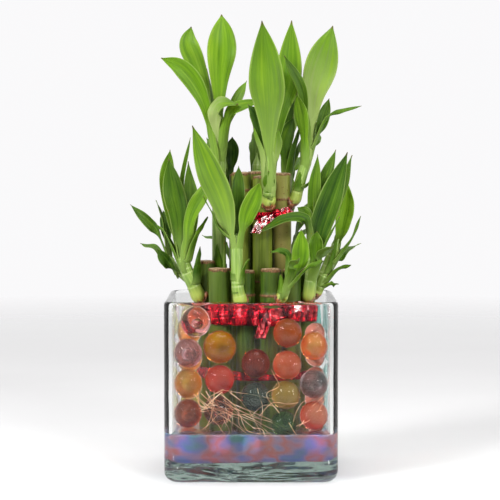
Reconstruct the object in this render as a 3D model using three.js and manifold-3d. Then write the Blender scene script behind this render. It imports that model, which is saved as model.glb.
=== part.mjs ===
// Lucky bamboo: two tiers of cut canes with leafy side shoots, tied with red foil, standing in
// a square glass vase of jelly beads and shallow water. Millimetres, +Z up, and the origin is
// the middle of the vase's underside. The front is -Y.
import * as THREE from 'three';
import { mergeVertices } from 'three/addons/utils/BufferGeometryUtils.js';
import Module from 'manifold-3d';

const wasm = await Module();
wasm.setup();

// Driving dimensions. Every height in this file is measured from a datum inside the vase's thick
// base, and the finished meshes are lifted by DATUM so that the vase stands on z = 0.
const GAP = 0.3;
const DATUM = 2.8;
const VASE_HALF = 41.1;
const VASE_HEIGHT = 82.4;
const VASE_CORNER = 9;
const WALL = 3.5;
const FOOT = 4.6;
const LIP = 0.9;
const COVE = 3;
const VASE_FLOOR = 6.5;
const WATER_LEVEL = 20;
const CANE_SIDES = 10;
const NODE_SWELL = 0.4;
const BLADE_THICKNESS = 0.7;
const LEAF_FOLD = 0.3;
const ROOT_OFFSET = 0.5;
const LEAST_HALF_WIDTH = 0.4;
const LEAF_START = 0.1;
const BROAD_START = 0.35;
const LEAF_RISE = 2.4;
const LEAF_FALL = 1.2;
const SHEATH_WIDTH = 5;
const STEM_START = 1.12;
const STEM_TAPER = 0.22;
const NARROW_LEAF = 7;
const BROAD_LEAF = 10.2;
const FOIL_THICKNESS = 0.8;
const KNOT_RADIUS = 2.8;
const STACK_SUNK = 0.4;
const INNER_HALF = VASE_HALF - WALL;
const BEAD_GLASS_GAP = 0.7;

// The canes' places are given at the vase's rim. Their feet stand closer to the bundle's middle.
const BUNDLE_MIDDLE = [3, 4];
const FOOT_Z = VASE_FLOOR + GAP;
const SHORT_LEAN = 0.97;
const CANES = [
  { name: 'cane_tall_1', x: -6.3, y: 8.2, top: 142, radius: 4.6, nodes: [90, 130] },
  { name: 'cane_tall_2', x: -4.7, y: -1.5, top: 143, radius: 4.6, nodes: [91, 134] },
  { name: 'cane_tall_3', x: 5.5, y: -6.4, top: 141.2, radius: 4.75, nodes: [90, 130.6] },
  { name: 'cane_tall_4', x: 15.2, y: -1.5, top: 142.6, radius: 4.5, nodes: [91, 129.6] },
  { name: 'cane_tall_5', x: 12.6, y: 9, top: 142, radius: 4.6, nodes: [89, 128] },
  { name: 'cane_tall_6', x: 3, y: 13.4, top: 143, radius: 4.6, nodes: [90, 131] },
  { name: 'cane_short_1', x: -21.5, y: -2, top: 100, radius: 4.3, nodes: [83] },
  { name: 'cane_short_2', x: -15, y: -13.9, top: 97, radius: 5.5, nodes: [78] },
  { name: 'cane_short_3', x: -2.6, y: -13.6, top: 96, radius: 4.5, nodes: [84] },
  { name: 'cane_short_4', x: 9.5, y: -16.9, top: 97, radius: 5.2, nodes: [84] },
  { name: 'cane_short_5', x: 19.6, y: -11.2, top: 96.5, radius: 4.6, nodes: [80] },
  { name: 'cane_short_6', x: 26.6, y: -3.4, top: 97, radius: 4.6, nodes: [84] },
  { name: 'cane_short_7', x: 26.5, y: 9.5, top: 96, radius: 5, nodes: [84] },
  { name: 'cane_short_8', x: 13.5, y: 20.6, top: 98, radius: 5, nodes: [84] },
  { name: 'cane_short_9', x: -3, y: 23.4, top: 97, radius: 5, nodes: [84] },
  { name: 'cane_short_10', x: -16.2, y: 11.2, top: 98, radius: 4.6, nodes: [85] },
];

// Foil ties: the height of each band, the canes that it goes round, and its knot and loose ends.
const TALL = CANES.filter((cane) => cane.name.startsWith('cane_tall'));
const SHORT = CANES.filter((cane) => cane.name.startsWith('cane_short'));
const TIES = [
  {
    name: 'tie_tall', low: 119.4, high: 124.2, canes: TALL, knot: [12.8, -11, 122.4],
    ends: [
      { path: [[12.8, -11.4, 122], [5, -14, 118.5], [2, -14.2, 113.6]], width: 4, face: [0, -1, 0.2] },
      {
        path: [[12.8, -11.4, 122], [16.4, -11, 123.6], [19.6, -8.6, 124.2]],
        width: 4,
        face: [0, -1, 0.4],
      },
    ],
  },
  {
    name: 'tie_upper', low: 69.5, high: 78.5, canes: SHORT, knot: [17.8, -19, 75.5],
    ends: [
      { path: [[17.8, -19.2, 75.5], [8.4, -24.6, 73.5], [4, -24.2, 64]], width: 5, face: [0, -1, 0.2] },
      { path: [[17.8, -19.2, 76], [22, -20.5, 78.5], [27, -17, 77.5]], width: 5, face: [0, -1, 0.3] },
    ],
  },
  { name: 'tie_lower', low: 43.5, high: 49.5, canes: SHORT, knot: null, ends: [] },
];

// Jelly beads by the front glass, each with its own place and colour. They are then pushed
// apart until nothing touches.
const PINK = '#e6b9c4';
const GOLD = '#a88a35';
const YELLOW = '#d8c23a';
const RED = '#d4453f';
const ORANGE = '#e2793a';
const TEAL = '#2f8f86';
const BLUE = '#4f8fb8';
const VIOLET = '#6a6fb0';
const BEADS = [
  { name: 'bead_pink_top_left', at: [-26.1, -30.1, 72.3], radius: 7.2, colour: PINK },
  { name: 'bead_lilac_left', at: [-30.1, -29.6, 57.5], radius: 7, colour: PINK },
  { name: 'bead_gold', at: [-14.8, -29.3, 60], radius: 8, colour: GOLD },
  { name: 'bead_yellow_left', at: [-30.3, -30.1, 43.5], radius: 7, colour: YELLOW },
  { name: 'bead_red_left', at: [-14.9, -30.1, 45.4], radius: 7.1, colour: RED },
  { name: 'bead_rose_middle', at: [2.2, -30.3, 52.8], radius: 7, colour: RED },
  { name: 'bead_orange_top', at: [17.2, -29.9, 67.2], radius: 7, colour: ORANGE },
  { name: 'bead_orange_right', at: [30.3, -28.1, 61], radius: 6.9, colour: ORANGE },
  { name: 'bead_red_middle', at: [17, -30.1, 51.4], radius: 7, colour: RED },
  { name: 'bead_blue_right', at: [30.3, -28.1, 43], radius: 7, colour: BLUE },
  { name: 'bead_yellow_middle', at: [16.4, -30.1, 37.2], radius: 7, colour: YELLOW },
  { name: 'bead_teal_middle', at: [2, -30.3, 37], radius: 7.1, colour: TEAL },
  { name: 'bead_green_low', at: [15.6, -30.3, 24.6], radius: 6.4, colour: TEAL },
  { name: 'bead_red_low', at: [30.1, -30.1, 27], radius: 7, colour: RED },
  { name: 'bead_pink_low', at: [-15.5, -30.3, 30.5], radius: 7.1, colour: PINK },
  { name: 'bead_orange_low', at: [-30.3, -30.1, 29], radius: 6.9, colour: ORANGE },
  { name: 'bead_violet_sunk', at: [-30.1, -30.3, 14], radius: 6.8, colour: VIOLET },
  { name: 'bead_blue_sunk', at: [-14.6, -30.3, 14], radius: 6.8, colour: BLUE },
  { name: 'bead_teal_sunk', at: [-0.2, -30.3, 14], radius: 6.8, colour: TEAL },
  { name: 'bead_blue_sunk_right', at: [30.3, -30.3, 14], radius: 6.8, colour: BLUE },
];

// Straight stacks of beads by the side and back walls, fused where they touch.
const STACKS = [
  { name: 'bead_stack_left', x: -30, y: -15, radius: 6.8, count: 5, colour: ORANGE },
  { name: 'bead_stack_back_left', x: -30, y: 14.6, radius: 6.8, count: 5, colour: YELLOW },
  { name: 'bead_stack_right', x: 31.2, y: -16.6, radius: 5.5, count: 6, colour: PINK },
  { name: 'bead_stack_corner_left', x: -30, y: 29.6, radius: 6.8, count: 5, colour: PINK },
  { name: 'bead_stack_corner_right', x: 30, y: 28.5, radius: 6.8, count: 5, colour: TEAL },
];

// Each shoot has a stem through points and leaves that leave it at a share of its length, pass
// through points and end in a tip. face is the way the upper side looks: degrees round from the
// front towards +X, and degrees up.
const FRONT = [0, 15];
function leaf(at, through, tip, width, face = FRONT) {
  return { at, through, tip, width, face };
}

const SHOOTS = [
  {
    name: 'shoot_tall_1', radius: 2.3,
    stem: [[-10.6, 12.4, 129], [-12, 14, 137], [-12, 15, 150]],
    leaves: [
      leaf(0.4, [[-9.5, 11, 150]], [-9.2, 9, 160], 7),
      leaf(0.7, [[-16, 20, 166]], [-22, 26, 181], 9, [232, 20]),
      leaf(0.8, [[-14, 21, 162], [-16, 26, 172]], [-19, 30, 181], 10, [232, 15]),
      leaf(0.5, [[-18, 21, 146]], [-25, 27, 149], 6, [230, 50]),
      leaf(0.3, [[-13, 22, 145]], [-15, 33, 150], 6, [232, 60]),
    ],
  },
  {
    name: 'shoot_tall_3', radius: 2.9,
    stem: [[8.6, -11.9, 129.6], [8.8, -14.4, 138], [8.4, -14.8, 158]],
    leaves: [
      leaf(0.45, [[8.4, -17.6, 168], [7.6, -20.6, 187]], [5.2, -24, 214.5], 17.5, [-5, 5]),
      leaf(0.6, [[13.5, -8.5, 170], [18, -5, 190]], [19.6, -4, 216], 13, [8, 10]),
      leaf(0.5, [[3, -16.5, 166]], [-1.4, -18, 175.2], 5.4),
      leaf(0.3, [[4.6, -17, 152]], [1, -18, 164.5], 5),
      leaf(0.4, [[11.6, -14.5, 152]], [13.2, -13.6, 163.5], 6, [30, 10]),
      leaf(0.02, [[8.6, -17, 136]], [8.4, -17.6, 143.5], 6.5),
      leaf(0.9, [[9, -9, 172], [10, -3, 184]], [9, 4, 190], 9, [128, 40]),
    ],
  },
  {
    name: 'shoot_tall_4', radius: 2.6,
    stem: [[21.6, -3.6, 130], [24.6, -5, 141], [27.4, -5.4, 152], [28.2, -5.4, 165]],
    leaves: [
      leaf(0.6, [[30, -7, 177.5], [33.9, -8, 194.5]], [39.2, -8, 213.2], 16, [5, 8]),
      leaf(0.55, [[25, -10.5, 165.5]], [21.9, -13, 180.5], 7, [-25, 0]),
      leaf(0.65, [[34, -3, 165.6]], [37.9, -1, 178.5], 6, [10, 10]),
      leaf(0.7, [[35.8, -6, 167], [41, -6, 171.4]], [53.4, -5, 174.8], 4.5, [0, 60]),
      leaf(0.8, [[24.8, -11.4, 181]], [15.8, -12.6, 198.6], 5.2, [-10, 20]),
      leaf(0.1, [[23.4, -7.6, 138]], [23.6, -8, 143], 4.5),
      leaf(0.15, [[28, -5, 137]], [30.6, -5, 143], 4, [30, 0]),
      leaf(0.85, [[32, 3, 178]], [36, 12, 190], 9, [128, 30]),
      leaf(0.5, [[31, 6, 158]], [34, 18, 162], 6, [128, 50]),
    ],
  },
  {
    name: 'shoot_tall_5', radius: 2.4,
    stem: [[16.2, 12.6, 127], [17.6, 13.4, 138], [17.6, 12.4, 152]],
    leaves: [
      leaf(0.5, [[16.6, 6.5, 156.5]], [20.8, 4.8, 169.7], 7.5),
      leaf(0.35, [[20.6, 5.2, 152]], [23.8, 3.6, 164.8], 5, [10, 10]),
      leaf(0.8, [[17.5, 8.5, 172]], [19, 7.5, 191], 8, [0, 10]),
      leaf(0.9, [[20, 20, 168]], [24, 26, 186], 10, [128, 15]),
      leaf(0.6, [[26, 18, 158]], [36, 22, 168], 7.5, [120, 40]),
      leaf(0.4, [[22, 22, 146]], [26, 34, 150], 6, [128, 60]),
    ],
  },
  {
    name: 'shoot_tall_6', radius: 2.4,
    stem: [[2.6, 19, 129], [2.6, 21, 138], [3, 22, 152]],
    leaves: [
      leaf(0.8, [[5, 24, 172]], [8, 27, 194], 11, [128, 10]),
      leaf(0.6, [[1, 27, 158]], [3, 33, 169], 6, [128, 20]),
      leaf(0.7, [[8, 28, 164]], [13, 35, 178], 8.5, [128, 20]),
      leaf(0.4, [[2, 31, 152]], [1, 44, 157], 7, [128, 60]),
      leaf(0.2, [[5, 25, 140]], [7, 30, 150], 5, [128, 20]),
    ],
  },
  {
    name: 'shoot_short_1', radius: 3.2, broad: true,
    stem: [[-25.8, -5.8, 83.5], [-29, -7.4, 91], [-32, -8, 98], [-32.9, -8, 106]],
    leaves: [
      leaf(0.6, [[-34.7, -9.5, 120], [-37.6, -10, 135]], [-39.7, -10, 149.4], 11, [0, 5]),
      leaf(0.85, [[-29.2, -13, 120], [-23.4, -15, 132]], [-18.2, -15, 140.5], 8, [-20, 20]),
      leaf(0.5, [[-41, -6, 111.5]], [-46, -5, 117.5], 4, [-20, 40]),
      leaf(0.8, [[-29.2, -2, 124]], [-30.7, 0, 148], 8, [10, 0]),
      leaf(0.95, [[-34.4, -3.6, 134]], [-29.4, -3, 159.6], 4.5, [60, 0]),
      leaf(0.9, [[-40.5, -4.6, 136]], [-39.2, -4, 153.7], 7.6, [0, 5]),
      leaf(0.7, [[-25.8, -11.5, 112]], [-20.8, -11.5, 121.5], 5, [-10, 10]),
      leaf(0.2, [[-25.2, -9.4, 99]], [-24.6, -8.6, 107], 4.5, [-20, 0]),
    ],
  },
  {
    name: 'shoot_short_3', radius: 2.9, broad: true,
    stem: [[-5.4, -20.2, 82.4], [-6.6, -21, 90], [-6.8, -21, 108], [-6.8, -20.6, 114]],
    leaves: [
      leaf(0.7, [[-12.8, -24, 127], [-20, -26, 144]], [-27.8, -26, 165], 13, [-12, 12]),
      leaf(0.8, [[-6.2, -19, 132]], [-5.9, -18, 146], 6.5, [5, 0]),
      leaf(0.7, [[-2.4, -23.4, 121], [1.2, -24.4, 130.5]], [4, -25, 138.4], 9, [5, 10]),
      leaf(0.35, [[-8.8, -21.5, 101]], [-9.8, -21.5, 107.5], 4.5, [-30, 0]),
      leaf(0.1, [[-8.8, -21.8, 91]], [-10, -21.4, 96], 4, [-30, 0]),
      leaf(0.3, [[-3, -21.8, 97]], [-0.8, -22, 102], 4.5, [30, 10]),
      leaf(0.75, [[-15.5, -19, 116], [-19, -18.4, 124]], [-22.8, -19, 131.5], 3.5, [0, 40]),
    ],
  },
  {
    name: 'shoot_short_4', radius: 2.4, broad: true,
    stem: [[15, -21.4, 84], [16.8, -23, 88.6], [18.6, -23.4, 94]],
    leaves: [
      leaf(0.5, [[22.6, -24.6, 99], [23.6, -25, 107]], [23.7, -25.6, 116], 8.6, [5, 5]),
      leaf(0.4, [[26.5, -26.4, 97]], [33.7, -27, 101.5], 4.5, [0, 40]),
      leaf(0.9, [[17.6, -25.4, 103], [14, -26, 106]], [9, -26.4, 105.2], 5, [-20, 50]),
      leaf(0.1, [[14.2, -24.2, 90]], [14, -24.2, 94.5], 4.5),
      leaf(0.6, [[20, -32, 100]], [22, -41, 103], 5.5, [0, 70]),
    ],
  },
  {
    name: 'shoot_short_6', radius: 2.8, broad: true,
    stem: [[27.8, -9.9, 83.6], [28.8, -11.5, 92], [29.2, -12, 104], [30, -12, 115]],
    leaves: [
      leaf(0.9, [[25.4, -16, 120.5], [16, -18.5, 120.5]], [4.3, -20, 114.6], 7.5, [0, 50]),
      leaf(0.5, [[32.3, -13, 113], [38.6, -13.4, 132]], [46.2, -13, 152.5], 12, [8, 10]),
      leaf(0.6, [[37, -3, 120], [43.4, 0, 135]], [49.4, 1, 151], 8, [20, 5]),
      leaf(0.8, [[34, -7.6, 133]], [41, -5.6, 153.7], 7, [10, 10]),
      leaf(0.75, [[30.4, -8.6, 130]], [32.2, -9, 151.4], 6.5, [-5, 5]),
      leaf(0.85, [[27, -9.6, 121.5]], [22.4, -9.4, 126], 6.5, [-30, 30]),
      leaf(0.4, [[31, -15, 107]], [31.6, -15.4, 114.6], 7),
      leaf(0.3, [[35.6, -13.4, 107]], [42.6, -13, 121.6], 4, [20, 10]),
      leaf(0.35, [[34, -22, 104]], [38, -32, 108], 6, [20, 65]),
    ],
  },
  {
    name: 'shoot_short_7', radius: 3, broad: true,
    stem: [[32, 6.2, 84.6], [34.4, 4.6, 89], [38.6, 4, 99], [43, 4, 110]],
    leaves: [
      leaf(0.75, [[45, 5.6, 117], [46.6, 6, 127]], [47.4, 6, 137.3], 9, [0, 5]),
      leaf(0.6, [[49.2, 1.6, 109.5]], [53.6, 1, 121.4], 5, [10, 20]),
      leaf(0.45, [[40.6, 0.6, 102]], [41.6, 0, 110.4], 4.5, [-30, 0]),
      leaf(0.25, [[43, 2, 95]], [49, 1, 97.4], 4.5, [10, 50]),
      leaf(0.1, [[39.4, 3.4, 87.6]], [43, 3, 88], 3.5, [0, 60]),
      leaf(0.8, [[45, 12, 119]], [48, 20, 132], 8, [130, 20]),
      leaf(0.5, [[46, 14, 103]], [55, 22, 107], 6, [120, 55]),
    ],
  },
  {
    name: 'shoot_short_8', radius: 2.2,
    stem: [[15, 27.1, 83.6], [16, 29, 90], [17, 30, 106]],
    leaves: [
      leaf(0.8, [[18, 33, 122]], [21, 38, 140], 10, [128, 15]),
      leaf(0.9, [[12, 33, 122]], [8, 36, 134], 8, [128, 15]),
      leaf(0.6, [[24, 35, 108]], [33, 41, 115], 7, [140, 45]),
      leaf(0.4, [[16, 39, 101]], [17, 50, 102], 7, [128, 65]),
      leaf(0.7, [[25, 29, 118]], [31, 30, 130], 7, [120, 20]),
      leaf(0.1, [[17.4, 31, 91]], [18, 31.4, 96], 4.5, [128, 0]),
    ],
  },
  {
    name: 'shoot_short_9', radius: 2.2,
    stem: [[-5, 29.8, 83.6], [-6, 31.4, 90], [-7, 32, 106]],
    leaves: [
      leaf(0.8, [[-8, 35, 122]], [-6, 40, 139], 10, [232, 15]),
      leaf(0.9, [[-13, 34, 120]], [-19, 37, 133], 8, [232, 15]),
      leaf(0.6, [[-15, 38, 106]], [-25, 43, 110], 7, [232, 50]),
      leaf(0.5, [[-4, 42, 104]], [-2, 52, 105], 7, [232, 65]),
      leaf(0.7, [[-1, 34, 117]], [2, 36, 127], 6.5, [128, 15]),
      leaf(0.1, [[-7.6, 33.2, 91]], [-8, 33.6, 96], 4.5, [232, 0]),
    ],
  },
  {
    name: 'shoot_short_10', radius: 3.3,
    stem: [[-15.9, 3.6, 90], [-15.6, 3.4, 98], [-15.6, 4.4, 130], [-14.8, 5, 160]],
    leaves: [
      leaf(0.9, [[-15.4, 2.6, 186], [-14.2, 1.6, 204]], [-14.3, 4, 219.5], 14.5, [0, 5]),
      leaf(0.95, [[-21.6, 5, 181], [-26.8, 7, 196.6], [-30.6, 8, 206]],
        [-29.2, 9, 213.8], 10.5, [-20, 5]),
      leaf(0.8, [[-20.9, 0, 169], [-26.3, -1, 183.7], [-34.1, -2, 193.4]],
        [-43.6, -2, 198], 9.5, [-5, 30]),
      leaf(0.93, [[-17.4, -2.5, 168.5], [-15.2, -5.5, 175]], [-6.2, -7.5, 175.8], 11, [-15, 45]),
      leaf(0.92, [[-11.5, -3, 168.5], [-6.6, -5, 174.3]], [5.9, -5, 177.4], 6.4, [0, 35]),
      leaf(0.97, [[-8.6, 5, 174]], [-2, 5.6, 187.4], 5.5, [0, 20]),
      leaf(0.8, [[-19, 2, 160]], [-22, 2, 171.6], 4.5, [-20, 0]),
      leaf(0.7, [[-20, 7.6, 152]], [-21.6, 8, 159.6], 4.5, [-30, 0]),
      leaf(0.08, [[-16.4, -0.2, 101]], [-16.6, -0.4, 107.7], 4.5),
      leaf(0.9, [[-19, 14, 178]], [-22, 22, 194], 9, [232, 20]),
      leaf(0.75, [[-18, 14, 153]], [-22, 25, 159], 6.5, [232, 50]),
    ],
  },
  {
    name: 'shoot_short_10_low', radius: 1.7,
    stem: [[-22.2, 10.8, 85.4], [-29, 8, 88], [-36.6, 5, 95], [-40, 4, 102]],
    leaves: [
      leaf(0.8, [[-45.5, 4, 112], [-50.6, 4, 118.4]], [-59.2, 4, 127], 5.5, [-30, 40]),
      leaf(0.95, [[-43.6, 6, 119]], [-46.7, 8, 129], 4.5, [-60, 0]),
      leaf(0.9, [[-41.6, 7.6, 114]], [-43.4, 9, 124], 6, [-20, 10]),
      leaf(0.55, [[-40.6, 0.4, 98]], [-45.7, -1, 105.3], 6, [-10, 40]),
      leaf(0.6, [[-46, 12, 104]], [-55, 18, 107], 6, [240, 60]),
    ],
  },
];

// Colours of the other pieces
const CANE_GREEN = '#3f6a2a';
const TALL_GREEN = '#6f8a35';
const LEAF_GREEN = '#4b8a2c';
const FOIL_RED = '#c01622';
const GLASS = '#dfeee8';
const WATER = '#cfe3e6';

const vector = (values) => new THREE.Vector3(...values);

// Solids and meshes
function solidFrom(geometry) {
  const bare = geometry.clone();
  bare.deleteAttribute('normal');
  bare.deleteAttribute('uv');
  const merged = mergeVertices(bare, 1e-4);
  return new wasm.Manifold(new wasm.Mesh({
    numProp: 3,
    vertProperties: new Float32Array(merged.attributes.position.array),
    triVerts: new Uint32Array(merged.index.array),
  }));
}

function joined(solids) {
  return solids.reduce((whole, next) => whole.add(next));
}

// Only the largest body stays, so a sealed hollow is filled and a loose scrap is dropped
function largestBody(solid) {
  const bodies = solid.decompose();
  return bodies.reduce((best, body) => (body.volume() > best.volume() ? body : best));
}

function geometryFrom(solid) {
  const mesh = solid.getMesh();
  const geometry = new THREE.BufferGeometry();
  geometry.setAttribute('position', new THREE.BufferAttribute(mesh.vertProperties, 3));
  geometry.setIndex(new THREE.BufferAttribute(mesh.triVerts, 1));
  geometry.computeVertexNormals();
  return geometry;
}

function namedMesh(name, geometry, colour, roughness, metalness = 0) {
  const material = new THREE.MeshStandardMaterial({ color: colour, roughness, metalness });
  geometry.translate(0, 0, DATUM);
  const mesh = new THREE.Mesh(geometry, material);
  mesh.name = name;
  return mesh;
}

function geometryOf(points, triangles) {
  const geometry = new THREE.BufferGeometry();
  const numbers = points.flatMap((point) => point.toArray());
  geometry.setAttribute('position', new THREE.Float32BufferAttribute(numbers, 3));
  geometry.setIndex(triangles.flat());
  return geometry;
}

// A closed skin over rings of equal count that turn anticlockwise seen from the last ring
function loft(rings) {
  const count = rings[0].length;
  const triangles = [];
  for (let level = 0; level + 1 < rings.length; level += 1) {
    for (let side = 0; side < count; side += 1) {
      const next = (side + 1) % count;
      const [a, b] = [level * count + side, level * count + next];
      triangles.push([a, b, b + count], [a, b + count, a + count]);
    }
  }
  const last = (rings.length - 1) * count;
  for (let side = 1; side + 1 < count; side += 1) {
    triangles.push([0, side + 1, side], [last, last + side, last + side + 1]);
  }
  return geometryOf(rings.flat(), triangles);
}

// Rings
function roundedSquare(half, corner, z, steps = 4) {
  const points = [];
  for (let quarter = 0; quarter < 4; quarter += 1) {
    const signX = quarter === 0 || quarter === 3 ? 1 : -1;
    const signY = quarter < 2 ? 1 : -1;
    for (let step = 0; step <= steps; step += 1) {
      const angle = (quarter + step / steps) * Math.PI / 2;
      const x = signX * (half - corner) + corner * Math.cos(angle);
      const y = signY * (half - corner) + corner * Math.sin(angle);
      points.push(new THREE.Vector3(x, y, z));
    }
  }
  return points;
}

function circleRing(middle, across, along, radius, sides) {
  const points = [];
  for (let side = 0; side < sides; side += 1) {
    const angle = side / sides * Math.PI * 2;
    const offset = across.clone().multiplyScalar(Math.cos(angle) * radius);
    offset.addScaledVector(along, Math.sin(angle) * radius);
    points.push(middle.clone().add(offset));
  }
  return points;
}

// Vase and water
function vaseGeometry() {
  const underside = -DATUM;
  const bend = FOOT * 0.3;
  return loft([
    roundedSquare(VASE_HALF - FOOT, VASE_CORNER - FOOT, underside),
    roundedSquare(VASE_HALF - bend, VASE_CORNER - bend, underside + bend),
    roundedSquare(VASE_HALF, VASE_CORNER, underside + FOOT),
    roundedSquare(VASE_HALF, VASE_CORNER, VASE_HEIGHT - LIP),
    roundedSquare(VASE_HALF - LIP, VASE_CORNER - LIP, VASE_HEIGHT),
    roundedSquare(INNER_HALF + LIP, VASE_CORNER - WALL + LIP, VASE_HEIGHT),
    roundedSquare(INNER_HALF, VASE_CORNER - WALL, VASE_HEIGHT - LIP),
    roundedSquare(INNER_HALF, VASE_CORNER - WALL, VASE_FLOOR + COVE),
    roundedSquare(INNER_HALF - COVE, VASE_CORNER - WALL, VASE_FLOOR),
  ]);
}

function waterGeometry(canes, beads) {
  const half = INNER_HALF - GAP;
  const corner = VASE_CORNER - WALL;
  const pool = solidFrom(loft([
    roundedSquare(half - COVE, corner, VASE_FLOOR + GAP),
    roundedSquare(half, corner, VASE_FLOOR + GAP + COVE),
    roundedSquare(half, corner, WATER_LEVEL),
  ]));
  const holes = canes.map((cane) => solidFrom(caneGeometry(cane, GAP, VASE_FLOOR - 1)));
  const hollows = beads
    .filter((bead) => bead.at[2] - bead.radius < WATER_LEVEL)
    .map((bead) => solidFrom(beadGeometry(bead, GAP)));
  return geometryFrom(largestBody(pool.subtract(joined([...holes, ...hollows]))));
}

// Canes
function caneFoot(cane) {
  const lean = SHORT.includes(cane) ? SHORT_LEAN : 1;
  return BUNDLE_MIDDLE.map((middle, i) => middle + ([cane.x, cane.y][i] - middle) * lean);
}

function caneMiddle(cane, z) {
  const [footX, footY] = caneFoot(cane);
  const share = (z - FOOT_Z) / (VASE_HEIGHT - FOOT_Z);
  return new THREE.Vector3(footX + (cane.x - footX) * share, footY + (cane.y - footY) * share, z);
}

function caneGeometry(cane, grow = 0, footZ = FOOT_Z) {
  const swellHalf = 1.3;
  const levels = [[footZ, 0]];
  for (const node of cane.nodes) {
    levels.push([node - swellHalf, 0], [node, NODE_SWELL], [node + swellHalf, 0]);
  }
  levels.push([cane.top + grow, 0]);
  const across = new THREE.Vector3(1, 0, 0);
  const along = new THREE.Vector3(0, 1, 0);
  return loft(levels.map(([z, swell]) => (
    circleRing(caneMiddle(cane, z), across, along, cane.radius + swell + grow, CANE_SIDES)
  )));
}

// Jelly beads
function beadGeometry(bead, grow = 0) {
  const geometry = new THREE.IcosahedronGeometry(bead.radius + grow, 1);
  geometry.translate(...bead.at);
  return geometry;
}

function stackBeads(stack) {
  const beads = [];
  const first = VASE_FLOOR + BEAD_GLASS_GAP + stack.radius;
  const spacing = 2 * stack.radius - STACK_SUNK;
  for (let level = 0; level < stack.count; level += 1) {
    beads.push({ at: [stack.x, stack.y, first + level * spacing], radius: stack.radius });
  }
  return beads;
}

// Moves loose beads until each is clear of the fixed ones, the canes, the ties and the glass
function settledBeads(loose, fixed) {
  const beads = loose.map((bead) => ({ ...bead, at: vector(bead.at) }));
  const still = fixed.map((bead) => ({ ...bead, at: vector(bead.at) }));
  const rounds = 600;
  for (let round = 0; round < rounds; round += 1) {
    for (const bead of beads) {
      for (const other of [...beads, ...still]) {
        pushOffBead(bead, other);
      }
      for (const cane of CANES) {
        pushOffCane(bead, cane);
      }
      const reach = INNER_HALF - BEAD_GLASS_GAP - bead.radius;
      bead.at.x = THREE.MathUtils.clamp(bead.at.x, -reach, reach);
      bead.at.y = THREE.MathUtils.clamp(bead.at.y, -reach, reach);
      bead.at.z = Math.max(bead.at.z, VASE_FLOOR + BEAD_GLASS_GAP + bead.radius);
    }
  }
  return beads.map((bead) => ({ ...bead, at: bead.at.toArray() }));
}

function pushOffBead(bead, other) {
  if (bead === other) {
    return;
  }
  const apart = bead.at.clone().sub(other.at);
  const lack = bead.radius + other.radius + GAP - apart.length();
  if (lack > 0) {
    bead.at.addScaledVector(apart.normalize(), lack / 2);
  }
}

function pushOffCane(bead, cane) {
  const apart = bead.at.clone().sub(caneMiddle(cane, bead.at.z)).setZ(0);
  const lack = bead.radius + cane.radius + NODE_SWELL + GAP - apart.length();
  if (lack > 0) {
    bead.at.addScaledVector(apart.normalize(), lack / 2);
  }
}

// Foil ties: the band follows the outline that a tight ribbon takes round its canes
function ribbonOutline(canes, z, clearance) {
  const steps = 28;
  const points = [];
  for (let step = 0; step < steps; step += 1) {
    const angle = step / steps * Math.PI * 2;
    const [outX, outY] = [Math.cos(angle), Math.sin(angle)];
    const reach = (cane) => {
      const middle = caneMiddle(cane, z);
      return middle.x * outX + middle.y * outY + cane.radius;
    };
    const outer = canes.reduce((best, cane) => (reach(cane) > reach(best) ? cane : best));
    const middle = caneMiddle(outer, z);
    const radius = outer.radius + clearance;
    points.push(new THREE.Vector2(middle.x + outX * radius, middle.y + outY * radius));
  }
  return points;
}

function tieGeometry(tie) {
  const middleZ = (tie.low + tie.high) / 2;
  const clearance = GAP + NODE_SWELL;
  const band = new THREE.Shape(ribbonOutline(tie.canes, middleZ, clearance + FOIL_THICKNESS));
  band.holes.push(new THREE.Path(ribbonOutline(tie.canes, middleZ, clearance)));
  const ring = new THREE.ExtrudeGeometry(band, { depth: tie.high - tie.low, bevelEnabled: false });
  ring.translate(0, 0, tie.low);
  const pieces = [solidFrom(ring)];
  if (tie.knot) {
    const knot = new THREE.IcosahedronGeometry(KNOT_RADIUS, 0);
    knot.scale(1.1, 0.8, 1);
    knot.translate(...tie.knot);
    pieces.push(solidFrom(knot));
  }
  for (const end of tie.ends) {
    const curve = curveThrough(end.path.map(vector));
    const strip = bladeGeometry(curve, end.width, vector(end.face), stripProfile, 0, 4, [-1, 1]);
    pieces.push(solidFrom(strip));
  }
  return geometryFrom(largestBody(joined(pieces)));
}

function grownCane(cane) {
  return solidFrom(caneGeometry(cane, GAP));
}

// Leaves
function curveThrough(points) {
  return new THREE.CatmullRomCurve3(points, false, 'catmullrom', 0.5);
}

// Share of the full width along a leaf: a narrower base, widest near the middle, a pointed tip.
// A larger start makes the base broader.
function leafProfile(start) {
  const shape = (share) => (share + start) ** LEAF_RISE * (1 - share) ** LEAF_FALL;
  const widest = (LEAF_RISE - start * LEAF_FALL) / (LEAF_RISE + LEAF_FALL);
  return (t) => shape(t) / shape(widest);
}

// A sheath or a strap-like leaf is widest at its base
function sheathProfile(t) {
  return (1 - t) ** 0.7 * (0.85 + 0.6 * t);
}

function stripProfile() {
  return 1;
}

function facing([round, up]) {
  const [a, b] = [THREE.MathUtils.degToRad(round), THREE.MathUtils.degToRad(up)];
  return new THREE.Vector3(Math.sin(a) * Math.cos(b), -Math.cos(a) * Math.cos(b), Math.sin(b));
}

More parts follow.
